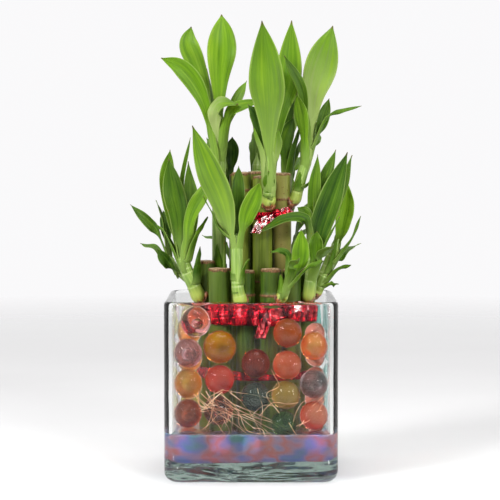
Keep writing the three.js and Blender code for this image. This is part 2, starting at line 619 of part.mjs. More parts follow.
// A blade along a curve, with the same triangles on its upper and lower face. Its columns go
// across from edge to edge, and those off the middle rise by the fold.
function bladeGeometry(curve, width, face, profile, fold, steps, columns = [-1, 0, 1]) {
  const upper = [];
  const lower = [];
  for (let step = 0; step <= steps; step += 1) {
    const t = step / steps;
    const middle = curve.getPoint(t);
    const tangent = curve.getTangent(t);
    const normal = face.clone().addScaledVector(tangent, -face.dot(tangent)).normalize();
    const side = tangent.clone().cross(normal);
    const half = Math.max(width / 2 * profile(t), LEAST_HALF_WIDTH);
    for (const across of columns) {
      const point = middle.clone().addScaledVector(side, across * half * Math.cos(fold));
      point.addScaledVector(normal, Math.abs(across) * half * Math.sin(fold));
      upper.push(point.clone().addScaledVector(normal, BLADE_THICKNESS / 2));
      lower.push(point.clone().addScaledVector(normal, -BLADE_THICKNESS / 2));
    }
  }
  return geometryOf([...upper, ...lower], bladeTriangles(steps, columns.length));
}

function bladeTriangles(steps, count) {
  const down = count * (steps + 1);
  const triangles = [];
  const edge = count - 1;
  for (let step = 0; step < steps; step += 1) {
    const row = count * step;
    for (let across = 0; across < edge; across += 1) {
      const [a, b] = [row + across, row + across + 1];
      const [c, d] = [a + count, b + count];
      triangles.push([a, d, c], [a, b, d]);
      triangles.push([a + down, c + down, d + down], [a + down, d + down, b + down]);
    }
    const [left, nextLeft] = [row, row + count];
    const [right, nextRight] = [row + edge, row + count + edge];
    triangles.push([left, nextLeft, nextLeft + down], [left, nextLeft + down, left + down]);
    triangles.push([right, right + down, nextRight + down], [right, nextRight + down, nextRight]);
  }
  for (let across = 0; across < edge; across += 1) {
    const end = count * steps + across;
    triangles.push([across, across + down, across + 1 + down], [across, across + 1 + down, across + 1]);
    triangles.push([end, end + 1, end + 1 + down], [end, end + 1 + down, end + down]);
  }
  return triangles;
}

// Stem of a shoot: a bulb where it leaves the cane, then a slow taper
function stemGeometry(shoot) {
  const curve = curveThrough(shoot.stem.map(vector));
  const sides = 6;
  const steps = 4;
  const rings = [];
  for (let step = 0; step <= steps; step += 1) {
    const t = step / steps;
    const tangent = curve.getTangent(t);
    const along = new THREE.Vector3(1, 0, 0).cross(tangent).negate().normalize();
    const across = along.clone().cross(tangent);
    const radius = shoot.radius * (STEM_START - STEM_TAPER * t);
    rings.push(circleRing(curve.getPoint(t), across, along, radius, sides));
  }
  return loft(rings);
}

function shootGeometry(shoot) {
  const stemCurve = curveThrough(shoot.stem.map(vector));
  const blades = shoot.leaves.map((leaf) => {
    const through = leaf.through.map(vector);
    const root = stemCurve.getPoint(leaf.at);
    const outward = through[0].clone().sub(root).setZ(0).normalize();
    root.addScaledVector(outward, shoot.radius * ROOT_OFFSET);
    const curve = curveThrough([root, ...through, vector(leaf.tip)]);
    const narrow = leaf.width <= NARROW_LEAF;
    const steps = leaf.width > BROAD_LEAF ? 5 : 4;
    const columns = narrow ? [-1, 1] : [-1, 0, 1];
    const fold = narrow ? 0 : LEAF_FOLD;
    const face = facing(leaf.face);
    const blade = leafProfile(shoot.broad ? BROAD_START : LEAF_START);
    const profile = leaf.width <= SHEATH_WIDTH ? sheathProfile : blade;
    return solidFrom(bladeGeometry(curve, leaf.width, face, profile, fold, steps, columns));
  });
  const whole = joined([solidFrom(stemGeometry(shoot)), ...blades]);
  return geometryFrom(largestBody(whole.subtract(joined(CANES.map(grownCane)))));
}

// Assembly
const plant = new THREE.Group();
const stacks = STACKS.map((stack) => ({ ...stack, beads: stackBeads(stack) }));
const stackedBeads = stacks.flatMap((stack) => stack.beads);
const looseBeads = settledBeads(BEADS, stackedBeads);

plant.add(namedMesh('vase', vaseGeometry(), GLASS, 0.05));
plant.add(namedMesh('water', waterGeometry(CANES, [...looseBeads, ...stackedBeads]), WATER, 0.05));
for (const cane of CANES) {
  const colour = TALL.includes(cane) ? TALL_GREEN : CANE_GREEN;
  plant.add(namedMesh(cane.name, caneGeometry(cane), colour, 0.45));
}
for (const shoot of SHOOTS) {
  plant.add(namedMesh(shoot.name, shootGeometry(shoot), LEAF_GREEN, 0.4));
}
for (const tie of TIES) {
  plant.add(namedMesh(tie.name, tieGeometry(tie), FOIL_RED, 0.25, 0.8));
}
for (const bead of looseBeads) {
  plant.add(namedMesh(bead.name, geometryFrom(solidFrom(beadGeometry(bead))), bead.colour, 0.1));
}
for (const stack of stacks) {
  const balls = stack.beads.map((bead) => solidFrom(beadGeometry(bead)));
  plant.add(namedMesh(stack.name, geometryFrom(joined(balls)), stack.colour, 0.1));
}

export default plant;
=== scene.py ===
"""Lucky bamboo in a square glass vase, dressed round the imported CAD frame.

Sizes and places are in millimetres in the row frame, and each mesh is scaled to metres when it
is made. The front is -Y, and the origin is the middle of the vase's underside.
"""
import math

import bmesh
import bpy
import numpy as np
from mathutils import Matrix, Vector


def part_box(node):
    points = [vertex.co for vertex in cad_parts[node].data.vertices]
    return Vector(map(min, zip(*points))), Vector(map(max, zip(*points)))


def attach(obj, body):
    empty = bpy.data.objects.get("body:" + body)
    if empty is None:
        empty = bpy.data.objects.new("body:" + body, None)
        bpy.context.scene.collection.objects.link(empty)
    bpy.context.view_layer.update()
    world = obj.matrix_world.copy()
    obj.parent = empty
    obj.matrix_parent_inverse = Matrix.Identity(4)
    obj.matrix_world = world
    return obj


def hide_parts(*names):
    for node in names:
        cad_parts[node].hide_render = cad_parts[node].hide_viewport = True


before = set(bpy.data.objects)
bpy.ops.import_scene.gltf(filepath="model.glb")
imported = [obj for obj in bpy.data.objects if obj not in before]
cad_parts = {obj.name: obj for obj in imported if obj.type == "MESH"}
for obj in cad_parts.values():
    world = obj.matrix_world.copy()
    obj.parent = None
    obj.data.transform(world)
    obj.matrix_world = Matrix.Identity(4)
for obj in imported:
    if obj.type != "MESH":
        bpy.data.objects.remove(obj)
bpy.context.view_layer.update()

MM = 0.001

# Driving dimensions, the same as the CAD part's. Heights are measured from a datum inside the
# vase's thick base, and finished meshes are lifted by DATUM.
DATUM = 2.8
VASE_HALF = 41.1
VASE_HEIGHT = 82.4
VASE_CORNER = 9
WALL = 3.5
VASE_FLOOR = 6.5
VASE_FOOT = 4.6
VASE_COVE = 3
WATER_LEVEL = 20
NODE_SWELL = 0.4
BUNDLE_MIDDLE = (3, 4)
FOOT_Z = 6.8
SHORT_LEAN = 0.97
INNER_HALF = VASE_HALF - WALL
LEAF_START = 0.1
BROAD_START = 0.35
LEAF_RISE = 2.4
LEAF_FALL = 1.2
SHEATH_WIDTH = 5
STEM_START = 1.12
STEM_TAPER = 0.22
FRONT = (0, 15)

# Leaves: fineness, how long their feet clasp the stem, how the section curls and how it waves
LEAF_COLUMNS = 12
LEAF_STEPS = 34
LEAF_THICKNESS = 0.42
SHEATH_SHARE = 0.08
SHEATH_LENGTH = 8
SHORT_SHEATH_LENGTH = 2.5
SHORT_LEAF = 16
HOLD_LENGTH = 20
BROAD_HOLD = 12
LONGEST_HOLD = 0.6
OPENED_HOLD = 0.3
SHEATH_HOLD = 1.5
GRIP_CURL = 2.1
NARROW_CURL = 0.62
WIDE_CURL = 0.8
NARROW_LEAF = 8
LEAF_ROLL = 0.45
LEAF_CREASE = 0.03
LEAF_WAVE = 0.05
LEAF_EDGE = 0.16

# Fineness of canes, stems and foil
CANE_SIDES = 48
STEM_SIDES = 28
STRANDS = 7
STRAND_STEPS = 300
STRAND_LEVELS = 7
NO_MARKS = (0, 0, 0, 0)

# Drops of the rings of a cane's cut top below its highest place
CUT_DROPS = (1.0, 0.55, 0.2, 0.0, 0.0, -0.25, -0.3)

# The water's surface: how far in from its edge, and how far below the level
MENISCUS = [(0, 0), (0.6, 0.5), (1.4, 0.85), (2.8, 1.05), (6, 1.1), (15, 1.1), (26, 1.1), (33, 1.1)]

# Canes: x and y at the vase's rim, the top, the radius, the heights of the nodes, and how
# brown and spotted the skin is
CANES = {
    "cane_tall_1": (-6.3, 8.2, 142, 4.6, (90, 130), 0.1),
    "cane_tall_2": (-4.7, -1.5, 143, 4.6, (91, 134), 0.15),
    "cane_tall_3": (5.5, -6.4, 141.2, 4.75, (90, 130.6), 0.1),
    "cane_tall_4": (15.2, -1.5, 142.6, 4.5, (91, 129.6), 0.8),
    "cane_tall_5": (12.6, 9, 142, 4.6, (89, 128), 0.2),
    "cane_tall_6": (3, 13.4, 143, 4.6, (90, 131), 0.2),
    "cane_short_1": (-21.5, -2, 100, 4.3, (83,), 0.1),
    "cane_short_2": (-15, -13.9, 97, 5.5, (78,), 0.2),
    "cane_short_3": (-2.6, -13.6, 96, 4.5, (84,), 0.1),
    "cane_short_4": (9.5, -16.9, 97, 5.2, (84,), 0.1),
    "cane_short_5": (19.6, -11.2, 96.5, 4.6, (80,), 0.15),
    "cane_short_6": (26.6, -3.4, 97, 4.6, (84,), 0.1),
    "cane_short_7": (26.5, 9.5, 96, 5, (84,), 0.2),
    "cane_short_8": (13.5, 20.6, 98, 5, (84,), 0.1),
    "cane_short_9": (-3, 23.4, 97, 5, (84,), 0.2),
    "cane_short_10": (-16.2, 11.2, 98, 4.6, (85,), 0.15),
}
TALL = [name for name in CANES if "tall" in name]
SHORT = [name for name in CANES if "short" in name]

# Foil ties: lower and upper edge, canes inside, knot, and loose ends: path, width, how far the
# face tips up, and how strong the painted pale highlights are
TIES = {
    "tie_tall": dict(
        low=119.4, high=124.2, canes=TALL, knot=(12.8, -11, 122.4),
        ends=[
            ([(12.8, -11.4, 122), (5, -14, 118.5), (2, -14.2, 113.6)], 4, 0.2, 0.9),
            ([(12.8, -11.4, 122), (16.4, -11, 123.6), (19.6, -8.6, 124.2)], 4, 0.4, 0.3),
        ],
    ),
    "tie_upper": dict(
        low=69.5, high=78.5, canes=SHORT, knot=(17.8, -19, 75.5),
        ends=[
            ([(17.8, -19.2, 75.5), (8.4, -24.6, 73.5), (4, -24.2, 64)], 5, 0.2, 0.1),
            ([(17.8, -19.2, 76), (22, -20.5, 78.5), (27, -17, 77.5)], 5, 0.3, 0.9),
        ],
    ),
    "tie_lower": dict(low=43.5, high=49.5, canes=SHORT, knot=None, ends=[]),
}

# Jelly beads: slot, main colour, second colour, how clear the core is, and the size of the
# bubble inside as a share of the bead's
BEADS = {
    "bead_pink_top_left": ("bead_pink", (0.90, 0.50, 0.48), (0.97, 0.80, 0.80), 0.99, 0.3),
    "bead_lilac_left": ("bead_pink", (0.66, 0.42, 0.44), (0.86, 0.68, 0.70), 0.90, 0.4),
    "bead_gold": ("bead_gold", (0.66, 0.32, 0.004), (0.86, 0.52, 0.02), 0.76, 0.5),
    "bead_yellow_left": ("bead_yellow", (0.66, 0.54, 0.16), (0.86, 0.50, 0.14), 0.82, 0.36),
    "bead_red_left": ("bead_red", (0.74, 0.06, 0.03), (0.92, 0.20, 0.12), 0.79, 0.44),
    "bead_rose_middle": ("bead_red", (0.34, 0.045, 0.010), (0.74, 0.16, 0.09), 0.87, 0.42),
    "bead_orange_top": ("bead_orange", (0.80, 0.30, 0.16), (0.70, 0.26, 0.02), 0.80, 0.38),
    "bead_orange_right": ("bead_orange", (0.82, 0.28, 0.05), (0.96, 0.56, 0.20), 0.77, 0.46),
    "bead_red_middle": ("bead_red", (0.80, 0.18, 0.06), (0.96, 0.46, 0.24), 0.80, 0.3),
    "bead_blue_right": ("bead_blue", (0.34, 0.44, 0.46), (0.80, 0.60, 0.60), 0.92, 0.34),
    "bead_yellow_middle": ("bead_yellow", (0.72, 0.52, 0.14), (0.84, 0.70, 0.28), 0.82, 0.4),
    "bead_teal_middle": ("bead_teal", (0.02, 0.18, 0.12), (0.30, 0.36, 0.30), 0.88, 0.4),
    "bead_green_low": ("bead_teal", (0.02, 0.12, 0.07), (0.18, 0.38, 0.08), 0.87, 0.4),
    "bead_red_low": ("bead_red", (0.78, 0.20, 0.12), (0.95, 0.44, 0.28), 0.79, 0.46),
    "bead_pink_low": ("bead_pink", (0.50, 0.24, 0.20), (0.84, 0.56, 0.48), 0.94, 0.4),
    "bead_orange_low": ("bead_orange", (0.56, 0.22, 0.13), (0.86, 0.42, 0.26), 0.89, 0.4),
    "bead_violet_sunk": ("bead_violet", (0.26, 0.28, 0.66), (0.60, 0.30, 0.40), 0.50, 0),
    "bead_blue_sunk": ("bead_blue", (0.76, 0.26, 0.22), (0.46, 0.34, 0.66), 0.50, 0),
    "bead_teal_sunk": ("bead_teal", (0.12, 0.42, 0.42), (0.60, 0.40, 0.50), 0.50, 0),
    "bead_blue_sunk_right": ("bead_blue", (0.34, 0.32, 0.68), (0.60, 0.30, 0.52), 0.50, 0),
}

# Stacks of beads: slot, x, y, bead radius, how many, and the two colours
STACKS = {
    "bead_stack_left": ("bead_orange", -30, -15, 6.8, 5, (0.92, 0.52, 0.25), (0.95, 0.78, 0.60)),
    "bead_stack_back_left": ("bead_yellow", -30, 14.6, 6.8, 5, (0.80, 0.72, 0.25), (0.93, 0.88, 0.60)),
    "bead_stack_right": ("bead_pink", 31.2, -16.6, 5.5, 6, (0.88, 0.42, 0.34), (0.95, 0.70, 0.62)),
    "bead_stack_corner_left": ("bead_pink", -30, 29.6, 6.8, 5, (0.90, 0.74, 0.80), (0.96, 0.92, 0.93)),
    "bead_stack_corner_right": ("bead_teal", 30, 28.5, 6.8, 5, (0.30, 0.62, 0.60), (0.66, 0.84, 0.80)),
}
BEAD_DEPTH = 12
CORE_SHARE = 0.72
BUBBLE_SQUASH = 0.9
STACK_CLEAR = 0.84
STACK_BUBBLE = 0.4
STACK_SUNK = 0.4
STACK_FLOOR_GAP = 0.7
JELLY_IOR = 1.33
SUNK_IOR = 1.03
CORE_IOR = 1.1

# Roots: how many, ranges of their starts (x, how far forward, z), slope in degrees as middle and
# spread, and range of their reach
ROOTS = [
    (16, (-27, -10), (30, 36), (34, 43), (-38, 20), (16, 40)),
    (8, (-22, 14), (30, 36), (30, 42), (-95, 40), (10, 22)),
    (9, (-4, 24), (31, 36), (22, 34), (-10, 60), (10, 26)),
]

# Glass and water: the tint that light has after a depth, and the water's wandering colours
GLASS_TINT = (0.41, 0.50, 0.46)
GLASS_DEPTH = 60
GLASS_IOR = 1.46
WATER_TINT = (0.62, 0.72, 0.84)
WATER_DEPTH = 70
WATER_IOR = 1.33
WATER_STAIN = [
    (0.30, (0.24, 0.50, 0.50)),
    (0.40, (0.36, 0.42, 0.84)),
    (0.47, (0.66, 0.48, 0.68)),
    (0.54, (0.92, 0.34, 0.34)),
    (0.61, (0.68, 0.50, 0.70)),
    (0.70, (0.38, 0.48, 0.90)),
]

# Colours of the plant and the foil, as stops of a ramp or dark, middle and light
LEAF_LIGHT = [(0.28, (0.062, 0.155, 0.003)), (0.5, (0.125, 0.27, 0.005)), (0.74, (0.23, 0.38, 0.016))]
# The second leaf ramp is painted shade, mixed in where a leaf's tone is low
LEAF_SHADED = [(0.30, (0.004, 0.023, 0.001)), (0.55, (0.013, 0.06, 0.002)), (0.75, (0.042, 0.12, 0.005))]
LEAF_VEINS = 15
LEAF_LIGHT_THROUGH = 0.25
STEM_GREEN = [(0.32, (0.11, 0.21, 0.025)), (0.5, (0.18, 0.30, 0.04)), (0.68, (0.30, 0.41, 0.10))]
STEM_SCAR = [(0.38, (0.07, 0.018, 0.008)), (0.6, (0.36, 0.13, 0.04))]
CANE_OLIVE = ((0.028, 0.05, 0.003), (0.07, 0.11, 0.006), (0.155, 0.205, 0.02))
CANE_GREEN = ((0.006, 0.02, 0.001), (0.023, 0.055, 0.003), (0.06, 0.108, 0.008))
CANE_BARK = [(0.34, (0.035, 0.012, 0.007)), (0.66, (0.24, 0.11, 0.05))]
CANE_PITH = [(0.36, (0.12, 0.06, 0.025)), (0.66, (0.52, 0.38, 0.22))]
# The foil's ramp runs from painted shade in its creases up to its bright red
FOIL_RED_AND_SHADE = [(0.36, (0.06, 0.001, 0.004)), (0.54, (0.42, 0.004, 0.014)), (0.72, (0.90, 0.09, 0.11))]
ROOT_TAN = [(0.35, (0.30, 0.13, 0.06)), (0.55, (0.66, 0.40, 0.22)), (0.7, (0.85, 0.70, 0.52))]

# Stage, in metres: floor, camera, and lamps with their place, aim, size and power in watts
FLOOR_GREY = [(0.3, (0.60, 0.595, 0.60)), (0.7, (0.62, 0.615, 0.62))]
FLOOR_FADE = (0.35, 1.1)
FLOOR_RADIUS = 1.2
CAMERA_PLACE = (-0.0005, -0.890, 0.1558)
CAMERA_PITCH = 86.9
CAMERA_LENS = 131.5
CAMERA_SENSOR = 36
LAMPS = {
    "key_left": ((-0.60, -0.60, 0.72), (0, 0, 0.12), (0.22, 0.22), 9),
    "glint": ((0.34, -0.62, 0.50), (0, 0, 0.06), (0.14, 0.14), 3.5),
    "strip_left": ((-0.44, -0.26, 0.24), (0, 0, 0.08), (0.04, 0.42), 1.0),
    "strip_right": ((0.44, -0.26, 0.24), (0, 0, 0.08), (0.04, 0.42), 1.0),
    "top": ((0.1, 0.1, 0.95), (0, 0, 0.1), (0.6, 0.6), 3),
}

# Leaf looks: tone from 0, all painted shade, to 1, the lit green, and the share that fades to cream
LOOKS = {
    "plain": (0.50, 0.0),
    "bright": (0.95, 0.0),
    "streaked": (0.72, 0.12),
    "fading": (0.80, 0.45),
    "pale": (0.90, 0.45),
    "opened": (0.75, 0.55),
    "olive": (0.30, 0.0),
    "dark": (0.12, 0.0),
    "edged": (0.22, 0.0),
}


def leaf(at, through, tip, width, face, look="plain"):
    return dict(at=at, through=through, tip=tip, width=width, face=face, look=look)


def grown(radius, start, stem, leaves):
    return dict(radius=radius, start=start, stem=stem, leaves=leaves)


# Shoots: radius, start of the leaf outline, points of the stem, and leaves. A leaf
# starts at a share of the stem's length, passes through points and ends in a tip. face is the way
# its upper side looks: degrees round from the front towards +X, and degrees up.
SHOOTS = {
    "shoot_tall_1": grown(2.3, LEAF_START, [
        (-10.6, 12.4, 129), (-12, 14, 137), (-12, 15, 150),
    ], [
        leaf(0.4, [(-9.5, 11, 150)], (-9.2, 9, 160), 7, FRONT, "dark"),
        leaf(0.7, [(-16, 20, 166)], (-22, 26, 181), 9, (232, 20)),
        leaf(0.8, [(-14, 21, 162), (-16, 26, 172)], (-19, 30, 181), 10, (232, 15)),
        leaf(0.5, [(-18, 21, 146)], (-25, 27, 149), 6, (230, 50)),
        leaf(0.3, [(-13, 22, 145)], (-15, 33, 150), 6, (232, 60)),
    ]),
    "shoot_tall_3": grown(2.9, LEAF_START, [
        (8.6, -11.9, 129.6), (8.8, -14.4, 138), (8.4, -14.8, 158),
    ], [
        leaf(0.45, [(8.4, -17.6, 168), (7.6, -20.6, 187)], (5.2, -24, 214.5), 17.5, (-5, 5), "streaked"),
        leaf(0.6, [(13.5, -8.5, 170), (18, -5, 190)], (19.6, -4, 216), 13, (8, 10), "bright"),
        leaf(0.5, [(3, -16.5, 166)], (-1.4, -18, 175.2), 5.4, FRONT, "dark"),
        leaf(0.3, [(4.6, -17, 152)], (1, -18, 164.5), 5, FRONT, "pale"),
        leaf(0.4, [(11.6, -14.5, 152)], (13.2, -13.6, 163.5), 6, (30, 10), "pale"),
        leaf(0.02, [(8.6, -17, 136)], (8.4, -17.6, 143.5), 6.5, FRONT),
        leaf(0.9, [(9, -9, 172), (10, -3, 184)], (9, 4, 190), 9, (128, 40)),
    ]),
    "shoot_tall_4": grown(2.6, LEAF_START, [
        (21.6, -3.6, 130), (24.6, -5, 141), (27.4, -5.4, 152), (28.2, -5.4, 165),
    ], [
        leaf(0.6, [(30, -7, 177.5), (33.9, -8, 194.5)], (39.2, -8, 213.2), 16, (5, 8), "fading"),
        leaf(0.55, [(25, -10.5, 165.5)], (21.9, -13, 180.5), 7, (-25, 0), "bright"),
        leaf(0.65, [(34, -3, 165.6)], (37.9, -1, 178.5), 6, (10, 10)),
        leaf(0.7, [(35.8, -6, 167), (41, -6, 171.4)], (53.4, -5, 174.8), 4.5, (0, 60)),
        leaf(0.8, [(24.8, -11.4, 181)], (15.8, -12.6, 198.6), 5.2, (-10, 20)),
        leaf(0.1, [(23.4, -7.6, 138)], (23.6, -8, 143), 4.5, FRONT),
        leaf(0.15, [(28, -5, 137)], (30.6, -5, 143), 4, (30, 0)),
        leaf(0.85, [(32, 3, 178)], (36, 12, 190), 9, (128, 30)),
        leaf(0.5, [(31, 6, 158)], (34, 18, 162), 6, (128, 50)),
    ]),
    "shoot_tall_5": grown(2.4, LEAF_START, [
        (16.2, 12.6, 127), (17.6, 13.4, 138), (17.6, 12.4, 152),
    ], [
        leaf(0.5, [(16.6, 6.5, 156.5)], (20.8, 4.8, 169.7), 7.5, FRONT, "olive"),
        leaf(0.35, [(20.6, 5.2, 152)], (23.8, 3.6, 164.8), 5, (10, 10), "olive"),
        leaf(0.8, [(17.5, 8.5, 172)], (19, 7.5, 191), 8, (0, 10), "dark"),
        leaf(0.9, [(20, 20, 168)], (24, 26, 186), 10, (128, 15)),
        leaf(0.6, [(26, 18, 158)], (36, 22, 168), 7.5, (120, 40)),
        leaf(0.4, [(22, 22, 146)], (26, 34, 150), 6, (128, 60)),
    ]),
    "shoot_tall_6": grown(2.4, LEAF_START, [
        (2.6, 19, 129), (2.6, 21, 138), (3, 22, 152),
    ], [
        leaf(0.8, [(5, 24, 172)], (8, 27, 194), 11, (128, 10)),
        leaf(0.6, [(1, 27, 158)], (3, 33, 169), 6, (128, 20)),
        leaf(0.7, [(8, 28, 164)], (13, 35, 178), 8.5, (128, 20)),
        leaf(0.4, [(2, 31, 152)], (1, 44, 157), 7, (128, 60)),
        leaf(0.2, [(5, 25, 140)], (7, 30, 150), 5, (128, 20)),
    ]),
    "shoot_short_1": grown(3.2, BROAD_START, [
        (-25.8, -5.8, 83.5), (-29, -7.4, 91), (-32, -8, 98), (-32.9, -8, 106),
    ], [
        leaf(0.6, [(-34.7, -9.5, 120), (-37.6, -10, 135)], (-39.7, -10, 149.4), 11, (0, 5), "olive"),
        leaf(0.85, [(-29.2, -13, 120), (-23.4, -15, 132)], (-18.2, -15, 140.5), 8, (-20, 20), "bright"),
        leaf(0.5, [(-41, -6, 111.5)], (-46, -5, 117.5), 4, (-20, 40)),
        leaf(0.8, [(-29.2, -2, 124)], (-30.7, 0, 148), 8, (10, 0)),
        leaf(0.95, [(-34.4, -3.6, 134)], (-29.4, -3, 159.6), 4.5, (60, 0)),
        leaf(0.9, [(-40.5, -4.6, 136)], (-39.2, -4, 153.7), 7.6, (0, 5)),
        leaf(0.7, [(-25.8, -11.5, 112)], (-20.8, -11.5, 121.5), 5, (-10, 10)),
        leaf(0.2, [(-25.2, -9.4, 99)], (-24.6, -8.6, 107), 4.5, (-20, 0), "dark"),
    ]),
    "shoot_short_3": grown(2.9, BROAD_START, [
        (-5.4, -20.2, 82.4), (-6.6, -21, 90), (-6.8, -21, 108), (-6.8, -20.6, 114),
    ], [
        leaf(0.7, [(-12.8, -24, 127), (-20, -26, 144)], (-27.8, -26, 165), 13, (-12, 12), "streaked"),
        leaf(0.8, [(-6.2, -19, 132)], (-5.9, -18, 146), 6.5, (5, 0), "olive"),
        leaf(0.7, [(-2.4, -23.4, 121), (1.2, -24.4, 130.5)], (4, -25, 138.4), 9, (5, 10), "bright"),
        leaf(0.35, [(-8.8, -21.5, 101)], (-9.8, -21.5, 107.5), 4.5, (-30, 0)),
        leaf(0.1, [(-8.8, -21.8, 91)], (-10, -21.4, 96), 4, (-30, 0)),
        leaf(0.3, [(-3, -21.8, 97)], (-0.8, -22, 102), 4.5, (30, 10)),
        leaf(0.75, [(-15.5, -19, 116), (-19, -18.4, 124)], (-22.8, -19, 131.5), 3.5, (0, 40)),
    ]),
    "shoot_short_4": grown(2.4, BROAD_START, [
        (15, -21.4, 84), (16.8, -23, 88.6), (18.6, -23.4, 94),
    ], [
        leaf(0.5, [(22.6, -24.6, 99), (23.6, -25, 107)], (23.7, -25.6, 116), 8.6, (5, 5), "bright"),
        leaf(0.4, [(26.5, -26.4, 97)], (33.7, -27, 101.5), 4.5, (0, 40)),
        leaf(0.9, [(17.6, -25.4, 103), (14, -26, 106)], (9, -26.4, 105.2), 5, (-20, 50), "olive"),
        leaf(0.1, [(14.2, -24.2, 90)], (14, -24.2, 94.5), 4.5, FRONT),
        leaf(0.6, [(20, -32, 100)], (22, -41, 103), 5.5, (0, 70)),
    ]),
    "shoot_short_6": grown(2.8, BROAD_START, [
        (27.8, -9.9, 83.6), (28.8, -11.5, 92), (29.2, -12, 104), (30, -12, 115),
    ], [
        leaf(0.9, [(25.4, -16, 120.5), (16, -18.5, 120.5)], (4.3, -20, 114.6), 7.5, (0, 50), "edged"),
        leaf(0.5, [(32.3, -13, 113), (38.6, -13.4, 132)], (46.2, -13, 152.5), 12, (8, 10), "edged"),
        leaf(0.6, [(37, -3, 120), (43.4, 0, 135)], (49.4, 1, 151), 8, (20, 5)),
        leaf(0.8, [(34, -7.6, 133)], (41, -5.6, 153.7), 7, (10, 10)),
        leaf(0.75, [(30.4, -8.6, 130)], (32.2, -9, 151.4), 6.5, (-5, 5)),
        leaf(0.85, [(27, -9.6, 121.5)], (22.4, -9.4, 126), 6.5, (-30, 30)),
        leaf(0.4, [(31, -15, 107)], (31.6, -15.4, 114.6), 7, FRONT),
        leaf(0.3, [(35.6, -13.4, 107)], (42.6, -13, 121.6), 4, (20, 10)),
        leaf(0.35, [(34, -22, 104)], (38, -32, 108), 6, (20, 65)),
    ]),
    "shoot_short_7": grown(3, BROAD_START, [
        (32, 6.2, 84.6), (34.4, 4.6, 89), (38.6, 4, 99), (43, 4, 110),
    ], [
        leaf(0.75, [(45, 5.6, 117), (46.6, 6, 127)], (47.4, 6, 137.3), 9, (0, 5), "bright"),
        leaf(0.6, [(49.2, 1.6, 109.5)], (53.6, 1, 121.4), 5, (10, 20)),
        leaf(0.45, [(40.6, 0.6, 102)], (41.6, 0, 110.4), 4.5, (-30, 0)),
        leaf(0.25, [(43, 2, 95)], (49, 1, 97.4), 4.5, (10, 50)),
        leaf(0.1, [(39.4, 3.4, 87.6)], (43, 3, 88), 3.5, (0, 60)),
        leaf(0.8, [(45, 12, 119)], (48, 20, 132), 8, (130, 20)),
        leaf(0.5, [(46, 14, 103)], (55, 22, 107), 6, (120, 55)),
    ]),
    "shoot_short_8": grown(2.2, LEAF_START, [
        (15, 27.1, 83.6), (16, 29, 90), (17, 30, 106),
    ], [
        leaf(0.8, [(18, 33, 122)], (21, 38, 140), 10, (128, 15)),
        leaf(0.9, [(12, 33, 122)], (8, 36, 134), 8, (128, 15)),
        leaf(0.6, [(24, 35, 108)], (33, 41, 115), 7, (140, 45)),
        leaf(0.4, [(16, 39, 101)], (17, 50, 102), 7, (128, 65)),
        leaf(0.7, [(25, 29, 118)], (31, 30, 130), 7, (120, 20)),
        leaf(0.1, [(17.4, 31, 91)], (18, 31.4, 96), 4.5, (128, 0)),
    ]),
    "shoot_short_9": grown(2.2, LEAF_START, [
        (-5, 29.8, 83.6), (-6, 31.4, 90), (-7, 32, 106),
    ], [
        leaf(0.8, [(-8, 35, 122)], (-6, 40, 139), 10, (232, 15)),
        leaf(0.9, [(-13, 34, 120)], (-19, 37, 133), 8, (232, 15)),
        leaf(0.6, [(-15, 38, 106)], (-25, 43, 110), 7, (232, 50)),
        leaf(0.5, [(-4, 42, 104)], (-2, 52, 105), 7, (232, 65)),
        leaf(0.7, [(-1, 34, 117)], (2, 36, 127), 6.5, (128, 15)),
        leaf(0.1, [(-7.6, 33.2, 91)], (-8, 33.6, 96), 4.5, (232, 0)),
    ]),
    "shoot_short_10": grown(3.3, LEAF_START, [
        (-15.9, 3.6, 90), (-15.6, 3.4, 98), (-15.6, 4.4, 130), (-14.8, 5, 160),
    ], [
        leaf(0.9, [(-15.4, 2.6, 186), (-14.2, 1.6, 204)], (-14.3, 4, 219.5), 14.5, (0, 5), "bright"),
        leaf(0.95, [(-21.6, 5, 181), (-26.8, 7, 196.6), (-30.6, 8, 206)],
             (-29.2, 9, 213.8), 10.5, (-20, 5), "bright"),
        leaf(0.8, [(-20.9, 0, 169), (-26.3, -1, 183.7), (-34.1, -2, 193.4)],
             (-43.6, -2, 198), 9.5, (-5, 30), "bright"),
        leaf(0.93, [(-17.4, -2.5, 168.5), (-15.2, -5.5, 175)],
             (-6.2, -7.5, 175.8), 11, (-15, 45), "opened"),
        leaf(0.92, [(-11.5, -3, 168.5), (-6.6, -5, 174.3)], (5.9, -5, 177.4), 6.4, (0, 35), "bright"),
        leaf(0.97, [(-8.6, 5, 174)], (-2, 5.6, 187.4), 5.5, (0, 20), "bright"),
        leaf(0.8, [(-19, 2, 160)], (-22, 2, 171.6), 4.5, (-20, 0)),
        leaf(0.7, [(-20, 7.6, 152)], (-21.6, 8, 159.6), 4.5, (-30, 0)),
        leaf(0.08, [(-16.4, -0.2, 101)], (-16.6, -0.4, 107.7), 4.5, FRONT),
        leaf(0.9, [(-19, 14, 178)], (-22, 22, 194), 9, (232, 20)),
        leaf(0.75, [(-18, 14, 153)], (-22, 25, 159), 6.5, (232, 50)),
    ]),
    "shoot_short_10_low": grown(1.7, LEAF_START, [
        (-22.2, 10.8, 85.4), (-29, 8, 88), (-36.6, 5, 95), (-40, 4, 102),
    ], [
        leaf(0.8, [(-45.5, 4, 112), (-50.6, 4, 118.4)], (-59.2, 4, 127), 5.5, (-30, 40), "olive"),
        leaf(0.95, [(-43.6, 6, 119)], (-46.7, 8, 129), 4.5, (-60, 0)),
        leaf(0.9, [(-41.6, 7.6, 114)], (-43.4, 9, 124), 6, (-20, 10), "dark"),
        leaf(0.55, [(-40.6, 0.4, 98)], (-45.7, -1, 105.3), 6, (-10, 40), "dark"),
        leaf(0.6, [(-46, 12, 104)], (-55, 18, 107), 6, (240, 60)),
    ]),
}


